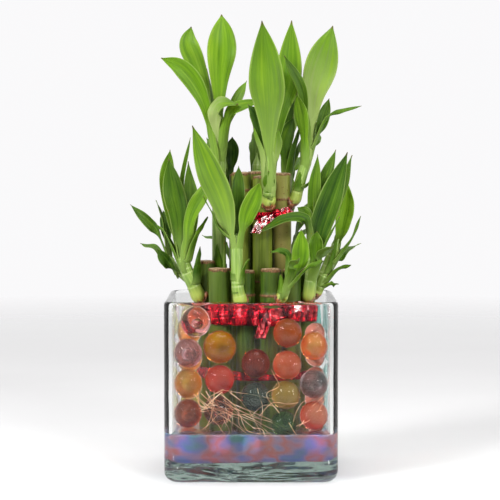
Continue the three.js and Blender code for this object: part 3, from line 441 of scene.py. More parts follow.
# Curves and small maths
def curve_at(controls, shares):
    """Points of a uniform Catmull-Rom curve at shares 0..1, as the CAD part makes it."""
    controls = np.asarray(controls, float)
    padded = np.vstack([2 * controls[0] - controls[1], controls, 2 * controls[-1] - controls[-2]])
    spans = len(controls) - 1
    shares = np.clip(np.asarray(shares, float), 0, 1) * spans
    index = np.minimum(shares.astype(int), spans - 1)
    w = (shares - index)[:, None]
    before, start, end, after = (padded[index + k] for k in range(4))
    leave = (end - before) / 2
    arrive = (after - start) / 2
    cubic = 2 * start - 2 * end + leave + arrive
    square = -3 * start + 3 * end - 2 * leave - arrive
    return cubic * w**3 + square * w**2 + leave * w + start


def unit(vectors):
    vectors = np.asarray(vectors, float)
    return vectors / np.maximum(np.linalg.norm(vectors, axis=-1, keepdims=True), 1e-9)


def tangents_of(points):
    return unit(np.gradient(np.asarray(points, float), axis=0))


def lengths_along(points):
    return np.concatenate([[0], np.cumsum(np.linalg.norm(np.diff(points, axis=0), axis=1))])


def spokes(sides, first=(1, 0, 0), second=(0, 1, 0)):
    """Unit vectors in even steps all round, from the first direction by way of the second."""
    angles = np.arange(sides)[:, None] / sides * 2 * math.pi
    return np.cos(angles) * first + np.sin(angles) * second


def fan(vectors, amounts):
    """Each row's vector times each of that row's amounts."""
    return vectors[:, None] * amounts[..., None]


def bell(distance, width):
    return np.exp(-((distance / width) ** 2))


def smooth(low, high, values):
    """A soft step from 0 at low to 1 at high."""
    t = np.clip((np.asarray(values, float) - low) / (high - low), 0, 1)
    return t * t * (3 - 2 * t)


def ripple(points, scale, seed, waves=7):
    """A smooth wandering value from about -1 to 1 at each point, the same on every run."""
    spread = np.random.default_rng(seed)
    directions = unit(spread.normal(size=(waves, 3))) * spread.uniform(0.6, 1.6, (waves, 1))
    phases = spread.uniform(0, 2 * math.pi, waves)
    total = np.sin(np.asarray(points, float) @ directions.T * scale + phases)
    return total.sum(axis=-1) / math.sqrt(waves)


# Meshes
class Skin:
    """Collects the points, faces, UVs and marks of one piece."""

    def __init__(self):
        self.points = []
        self.faces = []
        self.uv = []
        self.marks = []
        self.count = 0

    def add(self, points, faces, uv=(0.5, 0.5), marks=NO_MARKS):
        points = np.asarray(points, float).reshape(-1, 3)
        self.faces += [tuple(i + self.count for i in face) for face in faces]
        self.points.append(points)
        self.uv.append(np.broadcast_to(np.asarray(uv, float), (len(points), 2)))
        self.marks.append(np.broadcast_to(np.asarray(marks, float), (len(points), 4)))
        self.count += len(points)

    def piece(self, name, material, node=None):
        """Makes the object, which rides on the root and may stand for a CAD node."""
        mesh = bpy.data.meshes.new(name)
        lifted = np.vstack(self.points) + (0, 0, DATUM)
        mesh.from_pydata((lifted * MM).tolist(), [], self.faces)
        mesh.materials.append(material)
        mesh.polygons.foreach_set("use_smooth", [True] * len(mesh.polygons))
        corner = np.empty(len(mesh.loops), int)
        mesh.loops.foreach_get("vertex_index", corner)
        layer = mesh.uv_layers.new(name="across_along")
        layer.data.foreach_set("uv", np.vstack(self.uv)[corner].astype(np.float32).ravel())
        marks = mesh.color_attributes.new("marks", "FLOAT_COLOR", "POINT")
        marks.data.foreach_set("color", np.vstack(self.marks).astype(np.float32).ravel())
        obj = bpy.data.objects.new(name, mesh)
        bpy.context.collection.objects.link(obj)
        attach(obj, "root")
        if node:
            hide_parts(node)
        return obj


def second_material(obj, material, first_face):
    """Gives a second material to the faces from first_face on."""
    obj.data.materials.append(material)
    index = np.zeros(len(obj.data.polygons), int)
    index[first_face:] = 1
    obj.data.polygons.foreach_set("material_index", index)


def ring_faces(spans, sides, count):
    """Quads from ring to ring, of count points in all. The rings turn anticlockwise seen from
    the last, and a last span goes on to the first ring again."""
    faces = []
    for span in range(spans):
        for side in range(sides):
            a = span * sides + side
            b = span * sides + (side + 1) % sides
            faces.append((a, b, (b + sides) % count, (a + sides) % count))
    return faces


def add_rings(skin, rings, along, marks=NO_MARKS):
    """Adds a closed skin over rings (ring, side, xyz) with a middle point at each end. U goes
    round a ring, and along is V, one number a ring."""
    rings = np.asarray(rings, float)
    count, sides = rings.shape[:2]
    points = np.vstack([rings.reshape(-1, 3), rings[0].mean(axis=0), rings[-1].mean(axis=0)])
    uv = np.stack(np.meshgrid(np.arange(sides) / sides, along), axis=-1).reshape(-1, 2)
    marks = np.broadcast_to(marks, (count, sides, 4)).reshape(-1, 4)
    faces = ring_faces(count - 1, sides, count * sides)
    last = (count - 1) * sides
    for side in range(sides):
        after = (side + 1) % sides
        faces.append((count * sides, after, side))
        faces.append((count * sides + 1, last + side, last + after))
    skin.add(points, faces, np.vstack([uv, uv[0], uv[-1]]), np.vstack([marks, marks[0], marks[-1]]))


def tube_rings(path, radii):
    """Rings round a path. radii is an array of one number a ring and side."""
    path = np.asarray(path, float)
    along = tangents_of(path)
    across = np.empty_like(along)
    across[0] = unit(np.cross(along[0], (0.3, 0.9, 0.1)))
    for i in range(1, len(path)):
        across[i] = unit(across[i - 1] - along[i] * (across[i - 1] @ along[i]))
    other = np.cross(along, across)
    out = spokes(radii.shape[1], across[:, None], other[:, None])
    return path[:, None] + out * radii[..., None]


def add_loop(skin, rings, marks=NO_MARKS, uv=(0.5, 0.5)):
    """Adds a closed skin over rings (ring, side, xyz) of which the last joins the first."""
    count, sides = rings.shape[:2]
    skin.add(rings, ring_faces(count, sides, count * sides), uv, marks)


def add_blade(skin, upper, lower, uv, marks):
    """Adds a thin closed sheet between an upper and a lower surface (row, column, xyz)."""
    rows, columns = upper.shape[:2]
    down = rows * columns
    faces = []
    for row in range(rows - 1):
        for column in range(columns - 1):
            a = row * columns + column
            b = a + 1
            c, d = a + columns, b + columns
            faces.append((a, b, d, c))
            faces.append((a + down, c + down, d + down, b + down))
        left, right = row * columns, row * columns + columns - 1
        faces.append((left, left + columns, left + columns + down, left + down))
        faces.append((right, right + down, right + columns + down, right + columns))
    last = (rows - 1) * columns
    for column in range(columns - 1):
        faces.append((column, column + down, column + 1 + down, column + 1))
        end = last + column
        faces.append((end, end + 1, end + 1 + down, end + down))
    skin.add(np.stack([upper, lower]), faces, np.reshape(uv, (-1, 2)), np.reshape(marks, (-1, 4)))


# Materials
class Nodes:
    """Short names for making and joining the nodes of one material or world."""

    def __init__(self, owner, output="ShaderNodeOutputMaterial"):
        owner.use_nodes = True
        self.owner = owner
        self.tree = owner.node_tree
        self.tree.nodes.clear()
        self.out = self.tree.nodes.new(output)

    def node(self, kind, settings=None, **inputs):
        node = self.tree.nodes.new(kind)
        for key, value in (settings or {}).items():
            setattr(node, key, value)
        for key, value in inputs.items():
            self.put(node, key.replace("_", " "), value)
        return node

    def put(self, node, key, value):
        socket = node.inputs[int(key)] if key.isdigit() else node.inputs[key]
        if isinstance(value, bpy.types.NodeSocket):
            self.tree.links.new(value, socket)
        elif isinstance(value, tuple) and len(value) == 3 and socket.type == "RGBA":
            socket.default_value = (*value, 1)
        else:
            socket.default_value = value

    def maths(self, operation, a, b=0.0, clamp=False):
        node = self.node("ShaderNodeMath", {"operation": operation, "use_clamp": clamp})
        self.put(node, "0", a)
        self.put(node, "1", b)
        return node.outputs[0]

    def times(self, a, b, clamp=False):
        return self.maths("MULTIPLY", a, b, clamp)

    def plus(self, a, b, clamp=False):
        return self.maths("ADD", a, b, clamp)

    def minus(self, a, b, clamp=False):
        return self.maths("SUBTRACT", a, b, clamp)

    def ramp(self, factor, stops):
        node = self.node("ShaderNodeValToRGB", Fac=factor)
        ramp = node.color_ramp
        while len(ramp.elements) < len(stops):
            ramp.elements.new(0.5)
        for element, (place, colour) in zip(ramp.elements, stops):
            element.position = place
            element.color = (*colour, 1) if isinstance(colour, tuple) else (colour, colour, colour, 1)
        return node.outputs["Color"]

    def mix(self, factor, a, b):
        node = self.node("ShaderNodeMix", {"data_type": "RGBA"})
        self.put(node, "0", factor)
        self.put(node, "6", a)
        self.put(node, "7", b)
        return node.outputs[2]

    def noise(self, vector, detail, roughness=0.5, distortion=0.0):
        node = self.node(
            "ShaderNodeTexNoise", Vector=vector, Scale=1.0, Detail=detail, Roughness=roughness,
            Distortion=distortion,
        )
        return node.outputs["Fac"]

    def scaled(self, sizes):
        """Object coordinates, which here are metres in the row frame, times three sizes."""
        coordinates = self.node("ShaderNodeTexCoord").outputs["Object"]
        return self.node("ShaderNodeMapping", Vector=coordinates, Scale=sizes).outputs[0]

    def grain(self, sizes, *settings):
        """Noise that is fixed in space and has about so many lumps a metre along X, Y and Z."""
        return self.noise(self.scaled(sizes), *settings)

    def vector(self, x, y, z):
        return self.node("ShaderNodeCombineXYZ", X=x, Y=y, Z=z).outputs[0]

    def marks(self):
        node = self.node("ShaderNodeVertexColor", {"layer_name": "marks"})
        split = self.node("ShaderNodeSeparateColor", Color=node.outputs["Color"])
        return split.outputs[0], split.outputs[1], split.outputs[2], node.outputs["Alpha"]

    def uv(self):
        node = self.node("ShaderNodeUVMap", {"uv_map": "across_along"})
        split = self.node("ShaderNodeSeparateXYZ", Vector=node.outputs[0])
        return split.outputs[0], split.outputs[1]

    def mapped(self, value, source, target=(0, 1), kind="LINEAR"):
        """Carries a value from one range over to another and stops at its ends."""
        node = self.node("ShaderNodeMapRange", {"interpolation_type": kind}, Value=value)
        for key, limit in zip(("From Min", "From Max", "To Min", "To Max"), (*source, *target)):
            self.put(node, key, limit)
        return node.outputs[0]

    def bump(self, height, strength, distance):
        node = self.node("ShaderNodeBump", Strength=strength, Distance=distance, Height=height)
        return node.outputs[0]

    def shader(self, **inputs):
        return self.node("ShaderNodeBsdfPrincipled", **inputs)

    def finish(self, shader):
        self.put(self.out, "Surface", shader.outputs[0])
        return self.owner

    def finish_both(self, share, first, second):
        """Finishes with the first shader where the share is 0 and the second where it is 1."""
        both = self.node("ShaderNodeMixShader", Fac=share)
        self.put(both, "1", first.outputs[0])
        self.put(both, "2", second.outputs[0])
        return self.finish(both)


def new_material(name):
    return Nodes(bpy.data.materials.new(name))


def leaf_material():
    """Soft long streaks, painted shade set by the leaf's tone, faint veins, pale margins, a brown tip,
    and light that comes through.
    """
    n = new_material("leaf")
    tone, fade, under, own = n.marks()
    u, v = n.uv()
    shift = n.times(own, 37.0)
    streaks = n.noise(n.vector(n.times(u, 7.0), n.times(v, 1.1), shift), 5.0, 0.6)
    fine = n.noise(n.vector(n.times(u, 48.0), n.times(v, 2.0), shift), 2.0)
    clouds = n.noise(n.vector(n.times(u, 1.6), n.times(v, 3.2), shift), 3.0)
    # Painted shade: the tone, moved about by the clouds, mixes the lit green towards the dark shaded
    # green
    lit_share = n.plus(tone, n.times(n.minus(clouds, 0.5), 0.7), clamp=True)
    green = n.mix(lit_share, n.ramp(streaks, LEAF_SHADED), n.ramp(streaks, LEAF_LIGHT))
    green = n.mix(n.times(n.minus(fine, 0.5, clamp=True), 0.6), green, (0.34, 0.48, 0.05))
    edge = n.maths("ABSOLUTE", n.minus(n.times(u, 2.0), 1.0))
    margin = n.ramp(edge, [(0.88, 0.0), (0.96, 1.0)])
    green = n.mix(n.times(margin, 0.35), green, (0.40, 0.52, 0.12))
    wandering = n.plus(v, n.times(n.minus(streaks, 0.5), 0.9))
    low = n.ramp(wandering, [(0.25, 1.0), (0.85, 0.05)])
    green = n.mix(n.times(fade, low, clamp=True), green, (0.54, 0.62, 0.24))
    base = n.ramp(v, [(0.0, 0.8), (0.3, 0.0)])
    green = n.mix(n.times(base, 0.7), green, (0.27, 0.39, 0.09))
    tip = n.ramp(v, [(0.965, 0.0), (0.99, 1.0)])
    green = n.mix(n.times(tip, 0.8), green, (0.13, 0.07, 0.03))
    green = n.mix(n.times(under, 0.2), green, (0.24, 0.34, 0.09))
    veins = n.maths("SINE", n.times(u, 2 * math.pi * LEAF_VEINS))
    height = n.plus(n.times(veins, 0.12), n.plus(fine, n.times(clouds, 2.0)))
    shader = n.shader(Base_Color=green, Roughness=0.42, Normal=n.bump(height, 0.3, 0.0003))
    n.put(shader, "Specular IOR Level", 0.2)
    through = n.node("ShaderNodeBsdfTranslucent", Color=green)
    return n.finish_both(LEAF_LIGHT_THROUGH, shader, through)


def stem_material():
    """Overlapping pale sheaths with white ridges, a painted highlight on each sheath's top edge and a
    rough brown collar.
    """
    n = new_material("shoot_stem")
    tone, edge, _, brown = n.marks()
    u, v = n.uv()
    ridges = n.noise(n.vector(n.times(u, 22.0), n.times(v, 0.05), 0.0), 2.0)
    patches = n.grain((160, 160, 60), 4.0)
    green = n.mix(n.times(tone, 0.8), n.ramp(ridges, STEM_GREEN), (0.36, 0.44, 0.07))
    green = n.mix(n.ramp(patches, [(0.52, 0.0), (0.75, 0.5)]), green, (0.20, 0.28, 0.08))
    # Painted highlight: a pale mix along each sheath's top edge
    green = n.mix(n.times(edge, 0.6), green, (0.46, 0.54, 0.24))
    rough = n.grain((900, 900, 900), 4.0)
    green = n.mix(brown, green, n.ramp(rough, STEM_SCAR))
    height = n.plus(ridges, n.times(n.times(brown, rough), 3.0))
    shader = n.shader(Base_Color=green, Roughness=0.42, Normal=n.bump(height, 0.4, 0.0004))
    n.put(shader, "Coat Weight", 0.1)
    n.put(shader, "Coat Roughness", 0.25)
    return n.finish(shader)


def cane_material(name, dark, middle, light):
    """Long streaks down the cane, brown rings at the nodes, spots, and a woody cut top."""
    n = new_material(name)
    tone, cut, spots, brown = n.marks()
    streaks = n.grain((620, 620, 26), 4.0, 0.6)
    broad = n.grain((190, 190, 14), 2.0)
    speckle = n.grain((1100, 1100, 700), 3.0, 0.7)
    fibres = n.grain((2300, 2300, 500), 3.0)
    green = n.ramp(streaks, [(0.3, dark), (0.5, middle), (0.72, light)])
    green = n.mix(n.ramp(broad, [(0.42, 0.0), (0.66, 0.75)]), green, light)
    green = n.mix(n.times(tone, 0.7), green, (0.36, 0.30, 0.09))
    marks = n.times(n.ramp(speckle, [(0.60, 0.0), (0.66, 1.0)]), spots)
    green = n.mix(marks, green, (0.13, 0.05, 0.015))
    green = n.mix(brown, green, n.ramp(fibres, CANE_BARK))
    green = n.mix(cut, green, n.ramp(fibres, CANE_PITH))
    height = n.plus(streaks, n.times(n.maths("MAXIMUM", cut, brown), fibres))
    shader = n.shader(Base_Color=green, Roughness=0.46, Normal=n.bump(height, 0.3, 0.0005))
    n.put(shader, "Specular IOR Level", 0.2)
    return n.finish(shader)


def foil_material():
    """Crinkled metallic foil in crimson, with painted shade in its creases and painted pale highlights
    on the loose ends.
    """
    n = new_material("foil")
    pale = n.marks()[0]
    creases = n.node("ShaderNodeTexVoronoi", {"feature": "DISTANCE_TO_EDGE"}, Scale=520.0)
    n.put(creases, "Vector", n.scaled((1, 1, 0.55)))
    folds_and_shade = n.grain((420, 420, 160), 3.0)
    facets = n.grain((520, 520, 260), 2.0)
    # Painted highlight: pale pink patches on the loose ends, by the first mark
    painted_glints = n.times(n.ramp(facets, [(0.46, 0.0), (0.54, 1.0)]), pale)
    # The darker stops of the foil's ramp are painted shade in its creases
    tint = n.mix(painted_glints, n.ramp(folds_and_shade, FOIL_RED_AND_SHADE), (0.96, 0.66, 0.66))
    height = n.plus(n.times(creases.outputs["Distance"], 1.4), folds_and_shade)
    shader = n.shader(Base_Color=tint, Metallic=0.95, Roughness=0.24, Normal=n.bump(height, 0.7, 0.0009))
    return n.finish(shader)


def absorption_of(tint, depth):
    """Colour and density of absorption that leave a tint after a depth in millimetres."""
    loss = -np.log(np.clip(tint, 0.01, 0.995)) / (depth * MM)
    density = float(loss.max())
    return tuple(float(c) for c in 1 - loss / density), density


def clear_material(
    name, tint, depth, ior, roughness=0.0, clear=1.0, mirror=1.0, stain=None, waves=0.0, swirl=None,
):
    """Clear stuff that takes a tint with depth and lets the lamps' light through. A stain is a
    ramp of colours that wander over it, waves is how uneven it is, swirl is the grain of both,
    and mirror is how strongly it reflects."""
    n = new_material(name)
    shader = n.shader(Base_Color=(0.99, 0.99, 0.99), Roughness=roughness, IOR=ior)
    n.put(shader, "Transmission Weight", clear)
    n.put(shader, "Specular Tint", (mirror, mirror, mirror))
    if stain:
        n.put(shader, "Base Color", n.ramp(n.grain(swirl, 2.0), stain))
    if clear < 1:
        n.put(shader, "Subsurface Weight", 1.0)
        n.put(shader, "Subsurface Scale", 0.004)
        n.put(shader, "Subsurface Radius", (1.0, 1.0, 1.0))
    if waves:
        ripples = n.grain((15, 15, 120), 2.0, 0.5, 1.4)
        uneven = n.plus(n.times(n.grain(swirl, 2.0), 0.15), n.times(ripples, n.marks()[0]))
        n.put(shader, "Normal", n.bump(uneven, waves, 0.008))
    body, density = absorption_of(tint, depth)
    inside = n.node("ShaderNodeVolumeAbsorption", Color=body, Density=density)
    n.put(n.out, "Volume", inside.outputs[0])
    shadow = n.node("ShaderNodeLightPath").outputs["Is Shadow Ray"]
    through = n.node("ShaderNodeBsdfTransparent", Color=tuple(0.5 + 0.5 * c for c in tint))
    return n.finish_both(shadow, shader, through)


def jelly(name, first, second, clear, ior=JELLY_IOR, roughness=0.02):
    """Materials for a bead's clear skin and for its core, which two colours wander over."""
    tint = tuple(0.08 + 0.92 * c for c in second)
    skin = clear_material(f"{name}_jelly", tint, BEAD_DEPTH, ior, roughness)
    stain = [(0.42, first), (0.6, second)]
    core = clear_material(
        f"{name}_core", first, BEAD_DEPTH, CORE_IOR, 0.03, clear, stain=stain, swirl=(75, 75, 75),
    )
    return skin, core


def root_material():
    n = new_material("root")
    bands = n.grain((260, 260, 260), 3.0)
    tan = n.ramp(bands, ROOT_TAN)
    return n.finish(n.shader(Base_Color=tan, Roughness=0.55, Normal=n.bump(bands, 0.3, 0.0002)))


# Vase and water
def rounded_square(half, corner, z, steps=10):
    points = []
    for quarter, (sign_x, sign_y) in enumerate(((1, 1), (-1, 1), (-1, -1), (1, -1))):
        for step in range(steps + 1):
            angle = (quarter + step / steps) * math.pi / 2
            x = sign_x * (half - corner) + corner * math.cos(angle)
            y = sign_y * (half - corner) + corner * math.sin(angle)
            points.append((x, y, z))
    return points


def arc(centre, radius, start, end, steps):
    """Points (inset, z) of an arc, from angle start to end in degrees."""
    angles = np.radians(np.linspace(start, end, steps))
    return [(centre[0] + radius * math.cos(a), centre[1] + radius * math.sin(a)) for a in angles]


def pool_profile(half, floor):
    """Half-widths and heights from the middle of a coved floor out to its wall."""
    flat = half - VASE_COVE
    middle = [(share * flat, floor) for share in (0.15, 0.4, 0.7)]
    return middle + arc((flat, floor + VASE_COVE), VASE_COVE, -90, 0, 7)


def square_rings(profile):
    """Rounded squares whose corners get tighter inwards, but never sharp."""
    rings = []
    for half, z in profile:
        corner = max(min(VASE_CORNER - VASE_HALF + half, half * 0.9), 0.6)
        rings.append(rounded_square(half, corner, z))
    return np.asarray(rings)


def raise_floor(rings):
    """Gives the rings of a floor, which reach up to the top of its cove, an uneven blown shape."""
    arch = 0.9 * np.cos(rings[..., 0] / INNER_HALF * 1.9) - 0.2
    rings[..., 2] += arch + ripple(rings * (0.35, 1, 0), 0.3, 5) * 0.8


def make_vase(material):
    lip = WALL / 2
    hollow = 1.5
    flat = VASE_HALF - VASE_FOOT
    wall_top = VASE_HEIGHT - lip - 6
    outer = [(share * flat, hollow * (1 - share**4) - DATUM) for share in (0.2, 0.5, 0.8, 0.92)]
    outer += arc((flat, VASE_FOOT - DATUM), VASE_FOOT, -90, 0, 9)
    outer += [(VASE_HALF, z) for z in np.linspace(VASE_FOOT + 6, wall_top, 7)]
    rim = arc((VASE_HALF - lip, VASE_HEIGHT - lip), lip, 0, 180, 13)
    inner = pool_profile(INNER_HALF, VASE_FLOOR)
    inner += [(INNER_HALF, z) for z in np.linspace(VASE_FLOOR + VASE_COVE + 6, wall_top, 7)]
    outside = square_rings(outer + rim)
    outside[:4, :, 2] += (0.35 + 0.35 * ripple(outside[:4] * (0.25, 1, 0), 0.35, 8)).clip(0, 1)
    inside = square_rings(inner[::-1])
    raise_floor(inside[-10:])
    rings = np.concatenate([outside, inside])
    marks = np.zeros((*rings.shape[:2], 4))
    marks[..., 0] = 1 - smooth(VASE_FLOOR - 2, VASE_FLOOR + 3, rings[..., 2])
    skin = Skin()
    add_rings(skin, rings, rings[:, 0, 2], marks)
    skin.piece("vase_glass", material, "vase")


def make_water(material):
    overlap = 0.12
    half = INNER_HALF + overlap
    profile = pool_profile(half, VASE_FLOOR - overlap)
    profile += [(half, z) for z in (13, 16, WATER_LEVEL - 1.2)]
    profile += [(half - inset, WATER_LEVEL - drop) for inset, drop in MENISCUS]
    rings = square_rings(profile)
    raise_floor(rings[:10])
    skin = Skin()
    add_rings(skin, rings, rings[:, 0, 2])
    skin.piece("water_pool", material, "water")


# Canes
def cane_line(name, heights):
    """Middle of a cane at each height."""
    rim = np.array(CANES[name][:2])
    lean = SHORT_LEAN if name in SHORT else 1
    foot = BUNDLE_MIDDLE + (rim - BUNDLE_MIDDLE) * lean
    share = (np.array(heights, float)[:, None] - FOOT_Z) / (VASE_HEIGHT - FOOT_Z)
    return np.column_stack([foot + (rim - foot) * share, heights])


def cane_heights(top, nodes):
    """Heights of the rings of a cane's wall, closer together at its nodes and near its top."""
    heights = set(np.round(np.linspace(FOOT_Z, top - 1.4, 46), 2))
    for node in nodes:
        heights |= {round(node + d, 2) for d in (-2.6, -1.4, -0.7, -0.3, 0, 0.3, 0.7, 1.6, 3)}
    heights |= {round(top - d, 2) for d in (1.3, 1.6, 1.9, 2.2, 2.6, 3.2)}
    return sorted(h for h in heights if h < top - 1.2)


def cane_marks(name, out, z, node_ring, wall, inward, seed):
    """Tone, cut, spots and brown of one ring, on the wall or so far inward on the cut top."""
    top, _, _, spotted = CANES[name][2:]
    tone = spotted * (0.5 + 0.5 * ripple(out * 1.4 + (0, 0, z * 0.05), 1.0, seed + 9))
    spots = spotted * smooth(0.1, 0.9, ripple(out + (0, 0, z * 0.09), 1.0, seed + 5))
    if wall:
        cut = 0
        node_brown = node_ring * (1.15 + ripple(out * 4 + (0, 0, z), 1.0, seed + 3) * 0.15)
        ragged = 1.3 + 0.35 * ripple(out * 6, 1.0, seed + 7) + 0.3 * ripple(out * 19, 1.0, seed + 8)
        brown = np.maximum(node_brown, smooth(ragged + 0.5, ragged, top - z))
    else:
        cut = inward > 0.5
        brown = 0.85 if inward < 1.2 else 0.1
    return np.clip(np.stack(np.broadcast_arrays(tone, cut, spots, brown), axis=-1), 0, 1)


def make_cane(name, material, seed):
    """A cane's wall, swollen at its nodes, and its rough cut top."""
    top, radius, nodes, _ = CANES[name][2:]
    out = spokes(CANE_SIDES)
    rough = ripple(out * 5, 1.0, seed + 80) * 0.22 + ripple(out * 17, 1.0, seed + 81) * 0.16 - 0.35
    rows = [(z, True, 0) for z in cane_heights(top, nodes)]
    insets = (0.0, 0.08, 0.3, 0.75, 1.5, 0.55 * radius, 0.8 * radius)
    rows += [(top - drop, False, inset) for drop, inset in zip(CUT_DROPS, insets)]
    rings = []
    marks = []
    for z, wall, inward in rows:
        near = min((z - node for node in nodes), key=abs)
        node_ring = bell(near, 0.55) if wall else 0.0
        swell = NODE_SWELL * (0.75 * node_ring + 0.45 * bell(near + 1.6, 1.8))
        waist = 0.16 * bell(near - 2.4, 1.6)
        coarse = ripple(out * 2.1 + (0, 0, z * 0.035), 1.0, seed) * 0.07
        fine = ripple(out * 9 + (0, 0, z * 0.02), 1.0, seed + 40) * 0.035
        reach = np.maximum(radius * 0.985 + swell - waist + coarse + fine - inward, 0.2)
        ring = cane_line(name, [min(z, top)]) + out * reach[:, None]
        ring[:, 2] = np.minimum(z if wall else z + rough, top)
        rings.append(ring)
        marks.append(cane_marks(name, out, z, node_ring, wall, inward, seed))
    skin = Skin()
    add_rings(skin, rings, [z for z, _, _ in rows], marks)
    skin.piece(f"{name}_stalk", material, name)


# Shoots
def facing(face):
    around, up = np.radians(face)
    return np.array([math.sin(around) * math.cos(up), -math.cos(around) * math.cos(up), math.sin(up)])


def level(vector):
    """The way a vector points on the ground."""
    return unit(vector * np.array((1, 1, 0)))


def leaf_width(shares, start):
    """Share of the full width along a leaf, as the CAD part has it. A larger start is broader."""
    shares = np.clip(shares, 0, 1)
    widest = (LEAF_RISE - start * LEAF_FALL) / (LEAF_RISE + LEAF_FALL)
    shape = (shares + start) ** LEAF_RISE * (1 - shares) ** LEAF_FALL
    return shape / ((widest + start) ** LEAF_RISE * (1 - widest) ** LEAF_FALL)


def sheath_width(shares):
    """The same for a sheath or a strap-like leaf, which is widest at its base."""
    shares = np.clip(shares, 0, 1)
    return (1 - shares) ** 0.7 * (0.85 + 0.6 * shares)


def leaf_foot(shoot, row):
    """Where a leaf starts on the stem's skin, the ways up and out there, and the stem's radius."""
    at = row["at"]
    root, ahead = curve_at(shoot["stem"], [at, min(at + 0.02, 1)])
    if at > 0.97:
        ahead = root * 2 - curve_at(shoot["stem"], [at - 0.02])[0]
    radius = shoot["radius"] * (STEM_START - STEM_TAPER * at)
    outward = level(row["through"][0] - root)
    return root + outward * radius * 1.05, unit(ahead - root), outward, radius


def leaf_middle(row, foot, steps, sheath):
    """A leaf's middle line, which below the start runs down the stem and into it."""
    start, upward, outward, radius = foot
    middle = curve_at([start, *row["through"], row["tip"]], steps[:, 0])
    length = SHORT_SHEATH_LENGTH if sheath else SHEATH_LENGTH
    depth = radius * (0.95 if sheath else 0.45) * smooth(0.06 if sheath else 0, -SHEATH_SHARE, steps)
    return middle + upward * np.minimum(steps, 0) / SHEATH_SHARE * length - outward * depth


def leaf_half(shoot, row, steps, free, sheath, radius):
    """Half the width along a leaf: the blade's, or what it takes to clasp the stem."""
    profile = sheath_width(steps) if row["width"] <= SHEATH_WIDTH else leaf_width(steps, shoot["start"])
    clasp = radius * 1.12 * (1 - free) * (1 - 0.2 * smooth(0, -SHEATH_SHARE, steps))
    if sheath:
        clasp = clasp * np.maximum(1 - np.maximum(steps, 0) ** 1.4, 0)
    return np.maximum(np.maximum(row["width"] / 2 * profile, clasp), LEAF_EDGE)


def hold_share(shoot, row, size):
    """The share of an open leaf's length after which it is free of the stem."""
    length = BROAD_HOLD if shoot["start"] == BROAD_START else HOLD_LENGTH
    return min(length / size, OPENED_HOLD if row["look"] == "opened" else LONGEST_HOLD)


def add_leaf(skin, shoot, row, seed):
    """A thin closed blade whose foot clasps the stem and whose upper part opens to a channel."""
    spread = np.random.default_rng(seed)
    tone, fade = LOOKS[row["look"]]
    width = row["width"]
    foot = leaf_foot(shoot, row)
    start, _, outward, radius = foot
    size = np.linalg.norm(row["tip"] - start)
    sheath = width <= SHEATH_WIDTH or size < SHORT_LEAF
    steps = np.concatenate([np.linspace(-SHEATH_SHARE, 0, 4)[:-1], np.linspace(0, 1, LEAF_STEPS) ** 0.9])
    steps = steps[:, None]
    middle = leaf_middle(row, foot, steps, sheath)
    along = tangents_of(middle)
    hold_end = SHEATH_HOLD if sheath else hold_share(shoot, row, size)
    free = smooth(0.2 * hold_end, hold_end, steps)
    face = facing(row["face"])
    hold = outward if face @ outward > -0.2 else -outward
    roll = spread.uniform(-LEAF_ROLL, LEAF_ROLL) * smooth(0.35, 1, steps)
    normal = hold * (1 - free) + face * free + np.cross(along, face) * roll
    normal = unit(normal - along * np.sum(normal * along, axis=1, keepdims=True))
    side = np.cross(along, normal)
    half = leaf_half(shoot, row, steps, free, sheath, radius)
    grip = -GRIP_CURL if hold @ outward > 0 else GRIP_CURL
    curl = grip * (1 - free) + (NARROW_CURL if width < NARROW_LEAF else WIDE_CURL) * free
    curl = curl * (1 - 0.35 * smooth(0.5, 0.95, steps))
    curl = np.where(np.abs(curl) < 0.02, 0.02, curl)
    across = np.linspace(-1, 1, LEAF_COLUMNS + 1)
    angle = across * curl / 2
    reach = half * np.sin(angle) / (curl / 2)
    lift = half * (1 - np.cos(angle)) / (curl / 2)
    beat = steps * spread.uniform(1.6, 3.2) * 2 * math.pi
    phase = spread.uniform(0, 2 * math.pi, 2)
    wave = np.where(across < 0, np.sin(beat + phase[0]), np.sin(beat * 1.13 + phase[1]))
    crease = -LEAF_CREASE * bell(across, 0.3) * leaf_width(steps, shoot["start"])
    lift = lift + smooth(0.15, 0.45, steps) * width * (crease + LEAF_WAVE * wave * across**2)
    thin = LEAF_THICKNESS / 2 * (1 - 0.5 * np.abs(across) ** 3) * (1 - 0.4 * smooth(0.6, 1, steps))
    surface = middle[:, None] + fan(side, reach) + fan(normal, lift)
    outer = fan(normal, np.cos(angle) * thin) - fan(side, np.sin(angle) * thin)
    own = spread.uniform(0, 1)
    # The first mark is the tone: the lower it is, the more painted shade the leaf gets
    tone = tone + spread.uniform(-0.08, 0.08)
    uv = np.stack(np.broadcast_arrays((across + 1) / 2, np.maximum(steps, 0)), axis=-1)
    marks = np.tile((tone, fade, 0, own), (2, *angle.shape, 1))
    marks[1, ..., 2] = 1
    add_blade(skin, surface + outer, surface - outer, [uv, uv], marks)


def stem_path(name, stem, shares):
    """The line of a shoot out of its cane and up its stem, and how many points the bulb has."""
    cane = name.replace("shoot", "cane").replace("_low", "")
    line = curve_at(stem, shares)
    centre = cane_line(cane, [stem[0][2] - 1.6])[0]
    bury = centre + level(line[0] - centre) * (CANES[cane][3] - 1.6)
    bend = bury * 0.45 + line[0] * 0.55 + (0, 0, -0.8)
    bulb = curve_at([bury, bend, line[0], line[2]], np.linspace(0, 0.62, 9))[:-1]
    return np.vstack([bulb, line]), len(bulb)


